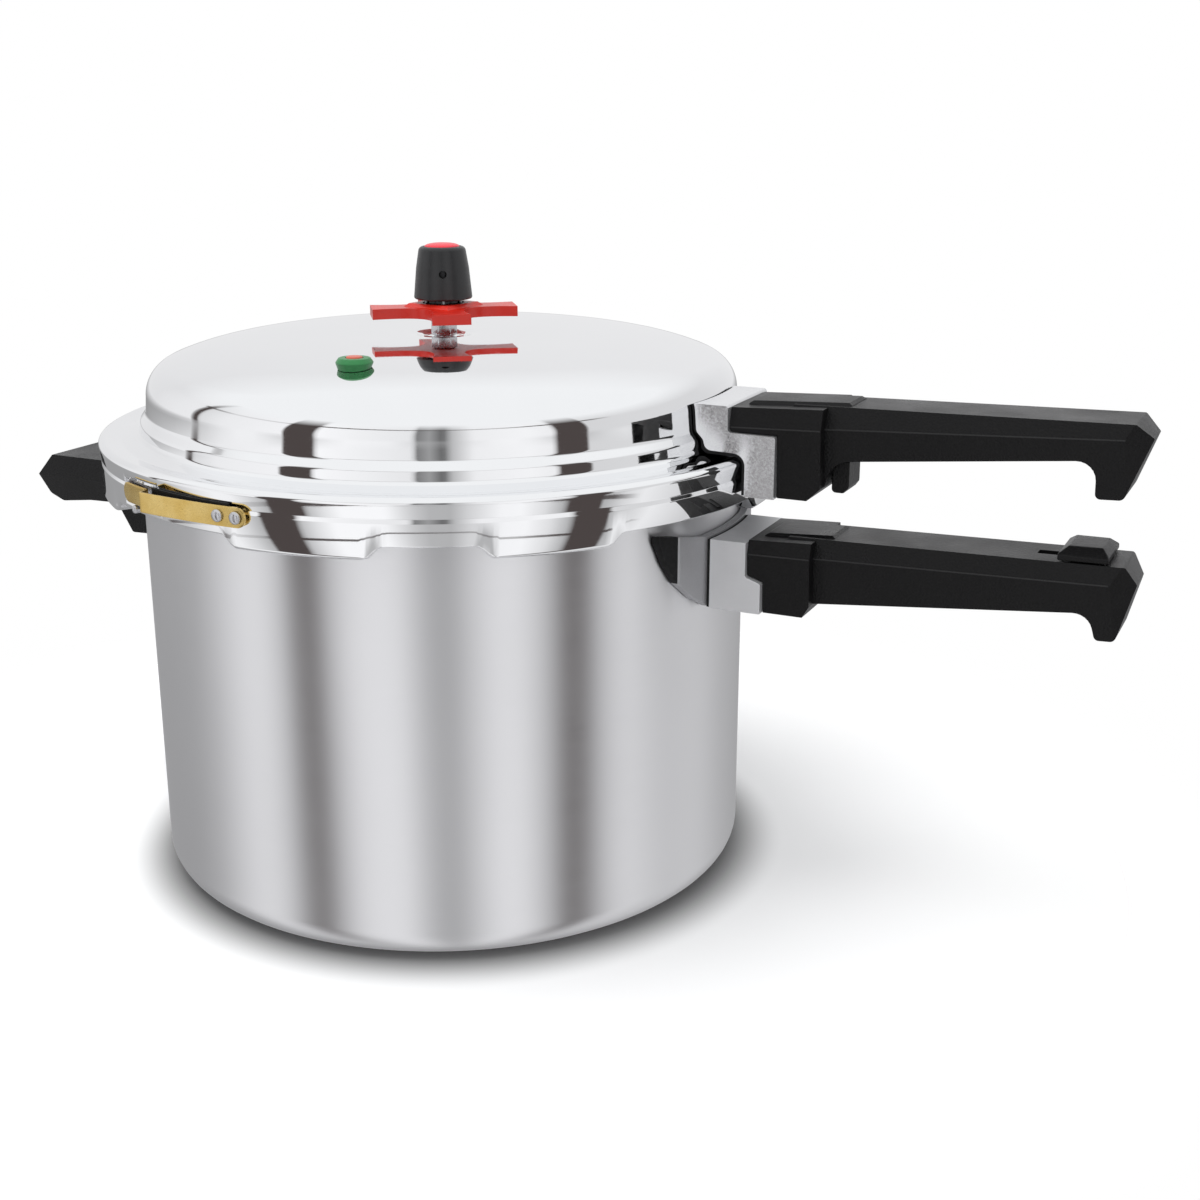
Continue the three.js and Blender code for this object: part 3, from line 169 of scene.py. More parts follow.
def cloth(tree, bearing, stops):
    """Cloth brightness by bearing in degrees; a stop of None is a gap in the tent."""
    return toned(tree, bearing, [
        ((degrees + 180) / 360, TENT_GAP if tone is None else (tone, tone, tone * 1.012))
        for degrees, tone in stops
    ])


def studio_tent():
    world = bpy.data.worlds.new("studio_tent")
    bpy.context.scene.world = world
    world.use_nodes = True
    tree = world.node_tree
    tree.nodes.clear()
    place = add_node(tree, "TexCoord").outputs["Generated"]
    split = add_node(tree, "SeparateXYZ", [("Vector", place)]).outputs
    turn = add_node(tree, "Math", [(0, split["Y"]), (1, split["X"])], operation="ARCTAN2").outputs["Value"]
    bearing = ranged(tree, turn, (-math.pi, math.pi))
    rise = ranged(tree, split["Z"], (-1, 1))
    lower, upper = cloth(tree, bearing, LOWER_CLOTH), cloth(tree, bearing, UPPER_CLOTH)
    halves = mixed(tree, ranged(tree, split["Z"], WAIST_BLEND), lower, upper)
    seams = toned(tree, rise, [((height + 1) / 2, (tone,) * 3) for height, tone in SEAM_HEIGHTS], "CONSTANT")
    feeds = [(0, seams), (1, cloth(tree, bearing, SEAM_STRENGTH))]
    dark = add_node(tree, "Math", feeds, operation="MULTIPLY").outputs["Value"]
    walls = mixed(tree, dark, halves, (*TENT_GAP, 1))
    whole = mixed(tree, ranged(tree, split["Z"], ROOF_BLEND), walls, TENT_ROOF)
    tent = add_node(tree, "Background", [("Color", whole)]).outputs["Background"]
    plain = add_node(tree, "Background", [("Color", (1, 1, 1, 1))]).outputs["Background"]
    direct_ray = add_node(tree, "LightPath").outputs["Is Camera Ray"]
    seen = add_node(tree, "MixShader", [("Fac", direct_ray), (1, tent), (2, plain)])
    add_node(tree, "OutputWorld", [("Surface", seen.outputs["Shader"])])


def soft_light(name, place, target, size, watts):
    lamp = bpy.data.lights.new(name, "AREA")
    lamp.size = size
    lamp.energy = watts
    light = bpy.data.objects.new(name, lamp)
    light.location = place
    light.rotation_euler = (Vector(target) - Vector(place)).to_track_quat("-Z", "Y").to_euler()
    light.visible_glossy = False
    bpy.context.scene.collection.objects.link(light)


stage_floor()
studio_tent()
soft_light("top_light", (-0.5, -0.4, 1.9), (0, 0, 0.1), 1.4, 22)
soft_light("front_light", (0.9, -1.5, 1.1), (0.1, 0, 0.15), 1.0, 7)


# Pot: drawn from one disc of aluminium 3 mm thick, then satin finished on the lathe with the grain
# running round it. Its rim is beaded, and eight pressed lugs hold the lid's ledges down.
MM = 0.001
POT_RADIUS = 120 * MM
POT_WALL = 3 * MM
POT_BASE = 4.5 * MM
BASE_FILLET = 11.5 * MM
RIM_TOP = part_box("pot_body")[1][2]
RIM_BEAD = 3.4 * MM


def filleted(corners, steps=6):
    """The points of a profile whose corners, each (radius, height, fillet), are rounded by arcs."""
    points = []
    for i, (r, z, fillet) in enumerate(corners):
        here = Vector((r, z))
        if fillet == 0 or i in (0, len(corners) - 1):
            points.append(here)
            continue
        back = (Vector(corners[i - 1][:2]) - here).normalized()
        ahead = (Vector(corners[i + 1][:2]) - here).normalized()
        half = back.angle(ahead) / 2
        reach = fillet / math.tan(half)
        centre = here + (back + ahead).normalized() * (fillet / math.sin(half))
        start = here + back * reach - centre
        turn = start.angle_signed(here + ahead * reach - centre)
        for step in range(steps + 1):
            points.append(centre + start @ Matrix.Rotation(turn * step / steps, 2))
    return [(p.x, p.y) for p in points]


def turned(profile, segments=192):
    """A bmesh of a profile of (radius, height) points turned about the pot's axis."""
    bm = bmesh.new()
    corners = [bm.verts.new((r, 0, z)) for r, z in profile]
    lines = [bm.edges.new(pair) for pair in zip(corners, corners[1:])]
    if profile[0][0] > 0:
        lines.append(bm.edges.new((corners[-1], corners[0])))
    bmesh.ops.spin(
        bm, geom=corners + lines, cent=(0, 0, 0), axis=(0, 0, 1), angle=math.tau, steps=segments,
        use_merge=True,
    )
    bmesh.ops.remove_doubles(bm, verts=bm.verts[:], dist=1e-6)
    bmesh.ops.recalc_face_normals(bm, faces=bm.faces[:])
    return bm


def piece(name, bm, material, body, replaced, sharp=40, weighted=False):
    """Makes the finished object, which rides on its body and stands for its CAD node."""
    made = placed(name, bm)
    made.data.materials.append(material)
    made.data.shade_smooth()
    made.data.set_sharp_from_angle(angle=math.radians(sharp))
    if weighted:
        normals = made.modifiers.new("flat_faces", "WEIGHTED_NORMAL")
        normals.keep_sharp = True
        normals.weight = 80
    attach(made, body)
    if replaced:
        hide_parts(*replaced)
    return made


def surface_marks():
    """Node group: cloudy variation and fine grain in the solid, for anything handled."""
    group = bpy.data.node_groups.new("surface_marks", "ShaderNodeTree")
    for name, kind, value in (
        ("Cloud Scale", "Float", 30.0), ("Grain Scale", "Float", 900.0), ("Stretch", "Vector", (1, 1, 1)),
    ):
        socket = group.interface.new_socket(name, in_out="INPUT", socket_type="NodeSocket" + kind)
        socket.default_value = value
    for name in ("Cloud", "Grain"):
        group.interface.new_socket(name, in_out="OUTPUT", socket_type="NodeSocketFloat")
    given = group.nodes.new("NodeGroupInput").outputs
    result = group.nodes.new("NodeGroupOutput").inputs
    place = add_node(group, "TexCoord").outputs["Object"]
    feeds = [(0, place), (1, given["Stretch"])]
    stretched = add_node(group, "VectorMath", feeds, operation="MULTIPLY").outputs["Vector"]
    for mark, where, detail in (("Cloud", place, 3), ("Grain", stretched, 2)):
        feeds = [("Vector", where), ("Scale", given[mark + " Scale"]), ("Detail", detail)]
        group.links.new(add_node(group, "TexNoise", feeds).outputs["Fac"], result[mark])
    return group


MARKS = surface_marks()


def finish(name, color, metallic, roughness, marks, tint, gloss, relief, plain=()):
    """A Principled material with the surface marks in its colour, roughness and normal.

    tint is (mark, dark, light), gloss is (mark, low, high) and relief is (mark, strength, distance).
    """
    material = bpy.data.materials.new(name)
    material.use_nodes = True
    tree = material.node_tree
    shader = tree.nodes["Principled BSDF"].inputs
    values = {"Base Color": (*color, 1), "Metallic": metallic, "Roughness": roughness, **dict(plain)}
    for socket, value in values.items():
        shader[socket].default_value = value
    group = add_node(tree, "Group", node_tree=MARKS)
    for socket, value in marks.items():
        group.inputs[socket].default_value = value
    mark, dark, light = tint
    tree.links.new(mixed(tree, group.outputs[mark], (*dark, 1), (*light, 1)), shader["Base Color"])
    mark, low, high = gloss
    tree.links.new(ranged(tree, group.outputs[mark], (0.3, 0.7), (low, high)), shader["Roughness"])
    mark, strength, distance = relief
    feeds = [("Strength", strength), ("Distance", distance), ("Height", group.outputs[mark])]
    tree.links.new(add_node(tree, "Bump", feeds).outputs["Normal"], shader["Normal"])
    return material


def satin_aluminium():
    satin = finish(
        "satin_aluminium", (0.80, 0.80, 0.815), 1.0, 0.30,
        {"Cloud Scale": 14, "Grain Scale": 60, "Stretch": (1, 1, 40)},
        tint=("Cloud", (0.77, 0.77, 0.785), (0.83, 0.83, 0.845)), gloss=("Grain", 0.29, 0.32),
        relief=("Grain", 0.012, 0.0001), plain={"Anisotropic": 0.85, "Anisotropic Rotation": 0.25},
    )
    tree = satin.node_tree
    round_axis = add_node(tree, "Tangent", direction_type="RADIAL", axis="Z")
    tree.links.new(round_axis.outputs["Tangent"], tree.nodes["Principled BSDF"].inputs["Tangent"])
    return satin


inner = POT_RADIUS - POT_WALL
inner_fillet = BASE_FILLET - POT_WALL
bead = POT_RADIUS + RIM_BEAD
pot = turned(filleted([
    (0, 0, 0),
    (POT_RADIUS, 0, BASE_FILLET),
    (POT_RADIUS, RIM_TOP - 8 * MM, 1 * MM),
    (bead, RIM_TOP - 6.5 * MM, 1 * MM),
    (bead, RIM_TOP, 1.2 * MM),
    (inner, RIM_TOP, 0.8 * MM),
    (inner, POT_BASE, inner_fillet),
    (0, POT_BASE, 0),
], steps=10), segments=240)
SATIN = satin_aluminium()
piece("pot", pot, SATIN, "pot", ["pot_body"], sharp=50)


# Bayonet lugs: eight tongues pressed out of the pot's rim, a narrow and a wide one in each quarter,
# which the lid's ledges slide under.
LUG_LOW = 160.4 * MM
LUG_HEIGHT = 4 * MM
LUG_REACH = 10 * MM
LUG_MIDDLES = ((-82.0, 13.0), (-44.5, 18.0))


def arc_block(inner_radius, outer_radius, middle, span, low, high, steps, bevel):
    """A bmesh block that follows the pot's round wall over some degrees."""
    bm = bmesh.new()
    corners = [
        bm.verts.new((r, 0, z))
        for r, z in ((inner_radius, low), (outer_radius, low), (outer_radius, high), (inner_radius, high))
    ]
    end = bm.faces.new(corners)
    bmesh.ops.spin(
        bm, geom=[end], cent=(0, 0, 0), axis=(0, 0, 1), angle=math.radians(span), steps=steps,
        use_merge=False,
    )
    turn = Matrix.Rotation(math.radians(middle - span / 2), 4, "Z")
    bmesh.ops.transform(bm, matrix=turn, verts=bm.verts[:])
    bmesh.ops.remove_doubles(bm, verts=bm.verts[:], dist=1e-6)
    bmesh.ops.recalc_face_normals(bm, faces=bm.faces[:])
    soften(bm, bevel)
    return bm


def soften(bm, width, angle=25, segments=3):
    """Rounds every edge of a bmesh that is sharper than an angle."""
    edges = [e for e in bm.edges if len(e.link_faces) == 2 and e.calc_face_angle(0) > math.radians(angle)]
    bmesh.ops.bevel(
        bm, geom=edges, offset=width, segments=segments, profile=0.5, affect="EDGES", clamp_overlap=True,
        material=-1,
    )


def joined(parts):
    """One bmesh from several."""
    whole = bmesh.new()
    for part in parts:
        scrap = placed("part", part)
        whole.from_mesh(scrap.data)
        bpy.data.objects.remove(scrap)
    return whole


lugs = []
for quarter in range(4):
    for middle, span in LUG_MIDDLES:
        lugs.append(arc_block(
            POT_RADIUS - 1 * MM, POT_RADIUS + LUG_REACH, middle + 90 * quarter, span,
            LUG_LOW, LUG_LOW + LUG_HEIGHT, 8, 0.8 * MM,
        ))
piece("pot_lugs", joined(lugs), SATIN, "pot", [])


# Lid: one pressing of aluminium polished to a mirror. A shallow dome, a rounded crown, a flange over
# the pot's rim and a skirt whose lower edge is curled under in eight places.
LID_WALL = 2.5 * MM
SKIRT_RADIUS = 134.2 * MM
SKIRT_INNER = SKIRT_RADIUS - LID_WALL
SKIRT_BOTTOM = 156.5 * MM
NOTCH_RISE = 4.5 * MM
FLANGE_TOP = 178.1 * MM
FLANGE_RADIUS = 135.4 * MM
CROWN_RADIUS = 116.3 * MM
CROWN_FOOT = 119.6 * MM
SHOULDER_Z = 192.8 * MM
SHOULDER_RADIUS = 13 * MM
SHOULDER_SLOPE = math.radians(22)
APEX_Z = 213.2 * MM
VENT_SEAT = 212.0 * MM
WIDE_LUG = (-93.5, -70.5)
NARROW_LUG = (-54.5, -34.5)
NOTCH_SLOPE = 2.6
BEND_HEIGHT = 9 * MM
LEDGE_REACH = 5.6 * MM
LEDGE_WALL = 3.2 * MM
dome_radius = CROWN_RADIUS - SHOULDER_RADIUS + SHOULDER_RADIUS * math.sin(SHOULDER_SLOPE)
dome_edge = SHOULDER_Z + SHOULDER_RADIUS * math.cos(SHOULDER_SLOPE)
dome_drop = APEX_Z - dome_edge
dome_power = dome_radius * math.tan(SHOULDER_SLOPE) / dome_drop


def dome_height(radius):
    return APEX_Z - dome_drop * (radius / dome_radius) ** dome_power


def shoulder(offset, steps=14):
    """Points up the shoulder from the crown to the dome's edge, moved outwards by an offset."""
    middle, reach = CROWN_RADIUS - SHOULDER_RADIUS, SHOULDER_RADIUS + offset
    angles = [(math.pi / 2 - SHOULDER_SLOPE) * step / steps for step in range(1, steps + 1)]
    return [(middle + reach * math.cos(a), SHOULDER_Z + reach * math.sin(a)) for a in angles]


def dome(flat_radius, wall, steps=26):
    """Points over the dome from its edge towards the flat under the vent, lowered by the wall."""
    radii = [dome_radius * (1 - step / steps) + flat_radius * step / steps for step in range(1, steps)]
    return [(radius, dome_height(radius) - wall) for radius in radii]


def lid_outer_skin():
    """Outer skin of the lid from the skirt's edge to the flat under the vent."""
    points = filleted([
        (SKIRT_INNER, SKIRT_BOTTOM, 0),
        (SKIRT_RADIUS, SKIRT_BOTTOM, 1.8 * MM),
        (SKIRT_RADIUS + 0.5 * MM, FLANGE_TOP - 8.6 * MM, 1.5 * MM),
        (SKIRT_RADIUS + 0.1 * MM, FLANGE_TOP - 7.2 * MM, 1.0 * MM),
        (FLANGE_RADIUS, FLANGE_TOP - 1.2 * MM, 1.6 * MM),
        (FLANGE_RADIUS - 2.4 * MM, FLANGE_TOP + 0.1 * MM, 2.5 * MM),
        (126.5 * MM, FLANGE_TOP - 0.9 * MM, 3 * MM),
        (122.6 * MM, FLANGE_TOP + 0.3 * MM, 1.6 * MM),
        (CROWN_FOOT, FLANGE_TOP + 1.2 * MM, 2.2 * MM),
        (CROWN_FOOT - 0.4 * MM, FLANGE_TOP + 5.6 * MM, 2.6 * MM),
        (CROWN_RADIUS + 0.5 * MM, FLANGE_TOP + 8.6 * MM, 3 * MM),
        (CROWN_RADIUS, SHOULDER_Z, 0),
    ], steps=5)
    return points + shoulder(0) + dome(11 * MM, 0) + [
        (9 * MM, APEX_Z - 0.4 * MM), (8 * MM, VENT_SEAT + 0.1 * MM), (7 * MM, VENT_SEAT), (0, VENT_SEAT),
    ]


def lid_profile():
    """Outer skin, then the inner skin back to the ledge under the skirt."""
    under = FLANGE_TOP - LID_WALL
    points = lid_outer_skin() + [(0, VENT_SEAT - LID_WALL), (12 * MM, VENT_SEAT - LID_WALL)]
    points += reversed(dome(16 * MM, LID_WALL))
    points += reversed(shoulder(-LID_WALL))
    points += filleted([
        (CROWN_RADIUS - LID_WALL, SHOULDER_Z, 0),
        (CROWN_FOOT - LID_WALL, FLANGE_TOP + 5 * MM, 2 * MM),
        (CROWN_FOOT - LID_WALL, under, 1.5 * MM),
        (SKIRT_INNER, under, 1 * MM),
        (SKIRT_INNER, SKIRT_BOTTOM + LEDGE_WALL, 0.6 * MM),
        (SKIRT_INNER - LEDGE_REACH, SKIRT_BOTTOM + LEDGE_WALL, 0.8 * MM),
        (SKIRT_INNER - LEDGE_REACH, SKIRT_BOTTOM, 1.2 * MM),
        (SKIRT_INNER - 0.5 * MM, SKIRT_BOTTOM, 0),
    ], steps=4)
    return points


def lug_share(degrees):
    """1 where the skirt reaches down and curls under, 0 in a notch, with a soft step between."""
    turn = (degrees - WIDE_LUG[0]) % 90 + WIDE_LUG[0]
    share = 0.0
    for low, high in (WIDE_LUG, NARROW_LUG, (WIDE_LUG[0] + 90, WIDE_LUG[1] + 90)):
        inside = min(turn - low, high - turn)
        share = max(share, min(1.0, max(0.0, inside / NOTCH_SLOPE + 0.5)))
    return share * share * (3 - 2 * share)


def shape_skirt(bm):
    """Lifts the skirt's edge in the notches and draws the ledge in."""
    bend_top = SKIRT_BOTTOM + BEND_HEIGHT
    for vert in bm.verts:
        radius = math.hypot(vert.co.x, vert.co.y)
        if vert.co.z > bend_top or radius < SKIRT_INNER - 8 * MM:
            continue
        share = lug_share(math.degrees(math.atan2(vert.co.y, vert.co.x)))
        down = (bend_top - vert.co.z) / (bend_top - SKIRT_BOTTOM)
        vert.co.z += NOTCH_RISE * (1 - share) * down
        if radius < SKIRT_INNER - 0.1 * MM:
            wanted = SKIRT_INNER - (SKIRT_INNER - radius) * max(share, 0.12)
            vert.co.x *= wanted / radius
            vert.co.y *= wanted / radius
        elif radius > SKIRT_RADIUS - 1 * MM:
            flare = 0.5 * MM * share * max(0.0, 1 - abs(down - 0.75) * 4)
            vert.co.x *= (radius + flare) / radius
            vert.co.y *= (radius + flare) / radius


def mirror_aluminium():
    return finish(
        "mirror_aluminium", (0.93, 0.935, 0.945), 1.0, 0.035,
        {"Cloud Scale": 22, "Grain Scale": 240, "Stretch": (1, 1, 6)},
        tint=("Cloud", (0.91, 0.915, 0.925), (0.95, 0.955, 0.965)), gloss=("Grain", 0.02, 0.055),
        relief=("Cloud", 0.06, 0.0006),
    )


MIRROR = mirror_aluminium()
lid = turned(lid_profile(), segments=480)
shape_skirt(lid)
lid_piece = piece("lid", lid, MIRROR, "lid", ["lid_shell"], sharp=60)


def booleaned(base, tools, operation):
    """Mesh of an object joined with or cut by closed bmeshes, worked out by the exact solver."""
    others = [placed("tool", tool) for tool in tools]
    for other in others:
        step = base.modifiers.new("step", "BOOLEAN")
        step.operation = operation
        step.solver = "EXACT"
        step.object = other
    result = bpy.data.meshes.new_from_object(base.evaluated_get(bpy.context.evaluated_depsgraph_get()))
    base.modifiers.clear()
    for other in others:
        bpy.data.objects.remove(other)
    return result


WINDOW_MIDDLE = -113.2
WINDOW_SPAN = 11.4
WINDOW_GAP = 0.7 * MM
leaf_low, leaf_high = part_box("lock_leaf")
window = arc_block(
    129 * MM, 141 * MM, WINDOW_MIDDLE, WINDOW_SPAN, leaf_low[2] - WINDOW_GAP, leaf_high[2] + WINDOW_GAP, 10,
    0.6 * MM,
)
lid_piece.data = booleaned(lid_piece, [window], "DIFFERENCE")


# Saddle of the long handle: a cast plate that hugs the pot's wall and is riveted through it. Its ends
# are black as painted shade, and a thin black sheet of painted shade fills the joint to the bracket.
SADDLE_INNER = POT_RADIUS + 0.3 * MM
SADDLE_OUTER = SADDLE_INNER + 3 * MM
# Painted shade: the saddle is black between these distances from its middle, in mm.
PAINTED_SHADE_ENDS = (37.6, 46.8)


def cast_aluminium(name, color, roughness, relief, metallic=1.0):
    return finish(
        name, color, metallic, roughness, {"Cloud Scale": 90, "Grain Scale": 1400},
        tint=("Cloud", tuple(c * 0.88 for c in color), color),
        gloss=("Grain", roughness - 0.07, roughness + 0.07), relief=("Grain", relief, 0.0002),
    )


def black_paint(name, roughness, gleam=0.25):
    return finish(
        name, (0.004, 0.004, 0.0045), 0.0, roughness, {"Cloud Scale": 60},
        tint=("Cloud", (0.003, 0.003, 0.0035), (0.006, 0.006, 0.0065)),
        gloss=("Grain", roughness - 0.08, roughness + 0.1), relief=("Grain", 0.08, 0.0001),
        plain={"Specular IOR Level": gleam},
    )


def filleted_loop(corners, steps):
    """Like filleted, for an outline that closes on itself."""
    return filleted([corners[-1], *corners, corners[0]], steps)[1:-1]


def pushed(outline, way):
    """A bmesh of a flat outline pushed along a vector."""
    bm = bmesh.new()
    face = bm.faces.new([bm.verts.new(point) for point in outline])
    grown = bmesh.ops.extrude_face_region(bm, geom=[face])
    far = [v for v in grown["geom"] if isinstance(v, bmesh.types.BMVert)]
    bmesh.ops.translate(bm, vec=way, verts=far)
    bmesh.ops.recalc_face_normals(bm, faces=bm.faces[:])
    return bm


def side_bar(outline, half_width):
    """A bar of an outline of (x, z, fillet) corners in mm, as wide as twice the half width."""
    points = filleted_loop([(x * MM, z * MM, f * MM) for x, z, f in outline], 6)
    return pushed([(x, -half_width, z) for x, z in points], (0, 2 * half_width, 0))


def block(x_ends, z_ends, half_width):
    """A plain bar between two ends and two heights in mm."""
    (near, far), (low, high) = x_ends, z_ends
    return side_bar([(near, low, 0), (far, low, 0), (far, high, 0), (near, high, 0)], half_width)


def slice_off(bm, point, normal):
    """Cuts away what lies beyond a plane and closes the cut."""
    geometry = bm.verts[:] + bm.edges[:] + bm.faces[:]
    cut_edges = bmesh.ops.bisect_plane(
        bm, geom=geometry, dist=1e-7, plane_co=point, plane_no=normal, clear_outer=True,
    )["geom_cut"]
    edges = [e for e in cut_edges if isinstance(e, bmesh.types.BMEdge)]
    bmesh.ops.holes_fill(bm, edges=edges, sides=0)
    bmesh.ops.recalc_face_normals(bm, faces=bm.faces[:])


def combined(target, tools, operation):
    """Joins or cuts closed bmeshes and gives one clean bmesh back."""
    base = placed("shape", target)
    result = booleaned(base, tools, operation)
    bm = bmesh.new()
    bm.from_mesh(result)
    bpy.data.objects.remove(base)
    bpy.data.meshes.remove(result)
    bmesh.ops.remove_doubles(bm, verts=bm.verts[:], dist=2e-6)
    bmesh.ops.dissolve_limit(bm, angle_limit=math.radians(0.4), verts=bm.verts[:], edges=bm.edges[:])
    return bm


def upright_cylinder(radius, low, high, segments=192):
    bm = bmesh.new()
    bmesh.ops.create_cone(
        bm, cap_ends=True, segments=segments, radius1=radius, radius2=radius, depth=high - low,
    )
    bmesh.ops.translate(bm, vec=(0, 0, (low + high) / 2), verts=bm.verts[:])
    return bm


def wall_cylinder(radius):
    """A cylinder about the pot's axis, taller than the saddle and the brackets."""
    return upright_cylinder(radius, 0.1, 0.2)


SADDLE_CORNERS = (
    (19.0, 121.0), (29.0, 126.6), (37.3, 133.6), (42.6, 141.4), (46.8, 150.6), (46.8, 153.4), (20.5, 148.2),
)


def saddle_part(from_y, to_y, inner, outer):
    """Wall-hugging plate between two radii, kept from one distance from its middle to another in mm."""
    ring = [*SADDLE_CORNERS, *((-y, z) for y, z in reversed(SADDLE_CORNERS))]
    shell = pushed([(90 * MM, y * MM, z * MM) for y, z in ring], (60 * MM, 0, 0))
    for side in (-1, 1):
        slice_off(shell, (0, side * to_y * MM, 0), (0, side, 0))
    shell = combined(shell, [wall_cylinder(inner)], "DIFFERENCE")
    shell = combined(shell, [wall_cylinder(outer)], "INTERSECT")
    if from_y:
        shell = combined(shell, [block((60, 160), (100, 190), from_y * MM)], "DIFFERENCE")
    return shell


CAST = cast_aluminium("cast_aluminium", (0.72, 0.725, 0.74), 0.42, 0.08, 0.6)
SADDLE_GREY = cast_aluminium("saddle_aluminium", (0.44, 0.44, 0.455), 0.46, 0.08, 0.7)
# Black standing in for shade: painted shade on the saddle's ends, in the brackets' joints and behind the
# leaf.
SHADE_BLACK = black_paint("painted_shade_black", 0.55)
saddle = saddle_part(0, PAINTED_SHADE_ENDS[0] - 0.2, SADDLE_INNER, SADDLE_OUTER)
soften(saddle, 0.5 * MM, 35, 2)
piece("pot_saddle", saddle, SADDLE_GREY, "pot", ["pot_handle_saddle"], weighted=True)
# The saddle's black ends are painted shade.
saddle_shade_ends = saddle_part(*PAINTED_SHADE_ENDS, SADDLE_INNER, SADDLE_OUTER - 0.4 * MM)
piece("pot_saddle_painted_shade", saddle_shade_ends, SHADE_BLACK, "pot", [], weighted=True)


# Bracket of the long handle: a sand-cast aluminium block with a stepped face for the grip. The thin black
# sheet between it and the saddle is painted shade and shows as a black line.
BRACKET_HALF = 20.5 * MM
BRACKET_INNER = 112
BRACKET_LOW, BRACKET_STEP, BRACKET_HIGH = 120.8, 133.4, 147.4
FACE_ABOVE, FACE_BELOW = 136.6, 142.6
# Where the black sheet of painted shade sits against the saddle, and how thick it is.
SHADE_SHEET_FACE = SADDLE_OUTER + 0.05 * MM
SHADE_SHEET_WALL = 1 * MM
bracket = side_bar([
    (BRACKET_INNER, BRACKET_LOW, 0), (FACE_BELOW, BRACKET_LOW, 0), (FACE_BELOW, BRACKET_STEP - 1, 1.2),
    (FACE_ABOVE, BRACKET_STEP + 1, 1.2), (FACE_ABOVE, BRACKET_HIGH, 0), (BRACKET_INNER, BRACKET_HIGH, 0),
], BRACKET_HALF)
bracket = combined(bracket, [wall_cylinder(SHADE_SHEET_FACE + SHADE_SHEET_WALL + 0.05 * MM)], "DIFFERENCE")
soften(bracket, 0.7 * MM, 35, 3)
piece("pot_bracket", bracket, CAST, "pot", ["pot_handle_bracket"], weighted=True)
# Black sheet of painted shade in the joint between the saddle and the bracket.
bracket_shade_sheet = block((BRACKET_INNER, 126.5), (BRACKET_LOW + 0.3, BRACKET_HIGH - 0.3), BRACKET_HALF - 0.35 * MM)
bracket_shade_sheet = combined(bracket_shade_sheet, [wall_cylinder(SHADE_SHEET_FACE)], "DIFFERENCE")
bracket_shade_sheet = combined(bracket_shade_sheet, [wall_cylinder(SHADE_SHEET_FACE + SHADE_SHEET_WALL)], "INTERSECT")
piece("pot_bracket_shade_sheet", bracket_shade_sheet, SHADE_BLACK, "pot", [])


# Long grip of the pot: compression-moulded bakelite with a fine matt grain, a parting ridge round its
# sides, a wide root over the bracket's tongue and a hook at its end.
ROOT_HALF = 19 * MM
GRIP_HALF = 14.5 * MM
END_CHAMFER = 3 * MM
PAD_HALF = 10.5 * MM
TONGUE_ROOM_HALF = 9.4 * MM
SLOT_HALF = 2.4 * MM
SCREW_WELL_RADIUS = 4.9 * MM
SCREW_WELL_DEPTH = 8
GRIP_CLEARANCE = 0.3
ROOT_END = 160.6


def bakelite():
    return finish(
        "bakelite", (0.0045, 0.0045, 0.0048), 0.0, 0.40, {"Cloud Scale": 40, "Grain Scale": 1500},
        tint=("Grain", (0.0025, 0.0025, 0.0028), (0.0080, 0.0078, 0.0080)), gloss=("Cloud", 0.26, 0.40),
        relief=("Grain", 0.45, 0.0004), plain={"Specular IOR Level": 0.19},
    )


def ridge_facets(bm, start, end, half_width, above, below):
    """Slants both sides of a bar inwards, by degrees above and below a ridge from start to end in mm."""
    along = Vector((end[0] - start[0], 0, end[1] - start[1])).normalized()
    for side in (-1, 1):
        for slant, rise in ((math.radians(above), 1), (math.radians(below), -1)):
            normal = Vector((0, side * math.cos(slant), rise * math.sin(slant)))
            normal = (normal - along * normal.dot(along)).normalized()
            slice_off(bm, (start[0] * MM, side * half_width, start[1] * MM), normal)


def end_corners(bm, x):
    """Chamfers the upright corners at a grip's end."""
    for side in (-1, 1):
        slice_off(bm, (x * MM, side * (GRIP_HALF - END_CHAMFER), 0), (0.62, side * 0.78, 0))


def raised_pad(from_x, to_x, low, high_start, high_end):
    """Low plateau on a grip's root."""
    pad = side_bar([
        (from_x, low, 0), (to_x, low, 0), (to_x, high_end - 0.9, 0), (to_x - 1.4, high_end, 0),
        (from_x + 1.4, high_start, 0), (from_x, high_start - 0.9, 0),
    ], PAD_HALF)
    for side in (-1, 1):
        slice_off(pad, (0, side * PAD_HALF, (high_start - 1.2) * MM), (0, side * 0.7, 0.72))
    return pad


def screw_well(x, top):
    """Round well for a screw's head, open at the underside of a grip."""
    well = upright_cylinder(SCREW_WELL_RADIUS, (top - SCREW_WELL_DEPTH) * MM, top * MM, 48)
    bmesh.ops.translate(well, vec=(x * MM, 0, 0), verts=well.verts[:])
    return well


BAKELITE = bakelite()
above, below = FACE_ABOVE + GRIP_CLEARANCE, FACE_BELOW + GRIP_CLEARANCE
pot_root = side_bar([
    (above, 134.7, 0), (below, 132.7, 0), (below, BRACKET_LOW, 0), (158, BRACKET_LOW, 0),
    (ROOT_END, 125.2, 0), (ROOT_END, 149.0, 0), (above, 148.0, 0),
], ROOT_HALF)
ridge_facets(pot_root, (above, 142.8), (ROOT_END, 143.3), ROOT_HALF, 14, 4)
pot_bar = side_bar([
    (150, 124.2, 0), (ROOT_END, 125.2, 0), (258.6, 134.9, 6.5), (261.2, 125.2, 1.8), (267.8, 125.5, 2.2),
    (273.0, 145.2, 0.5), (268.9, 151.8, 1.4), (150, 149.3, 0),
], GRIP_HALF)
ridge_facets(pot_bar, (158, 142.7), (272.5, 145.8), GRIP_HALF, 24, 6)
end_corners(pot_bar, 268.5)
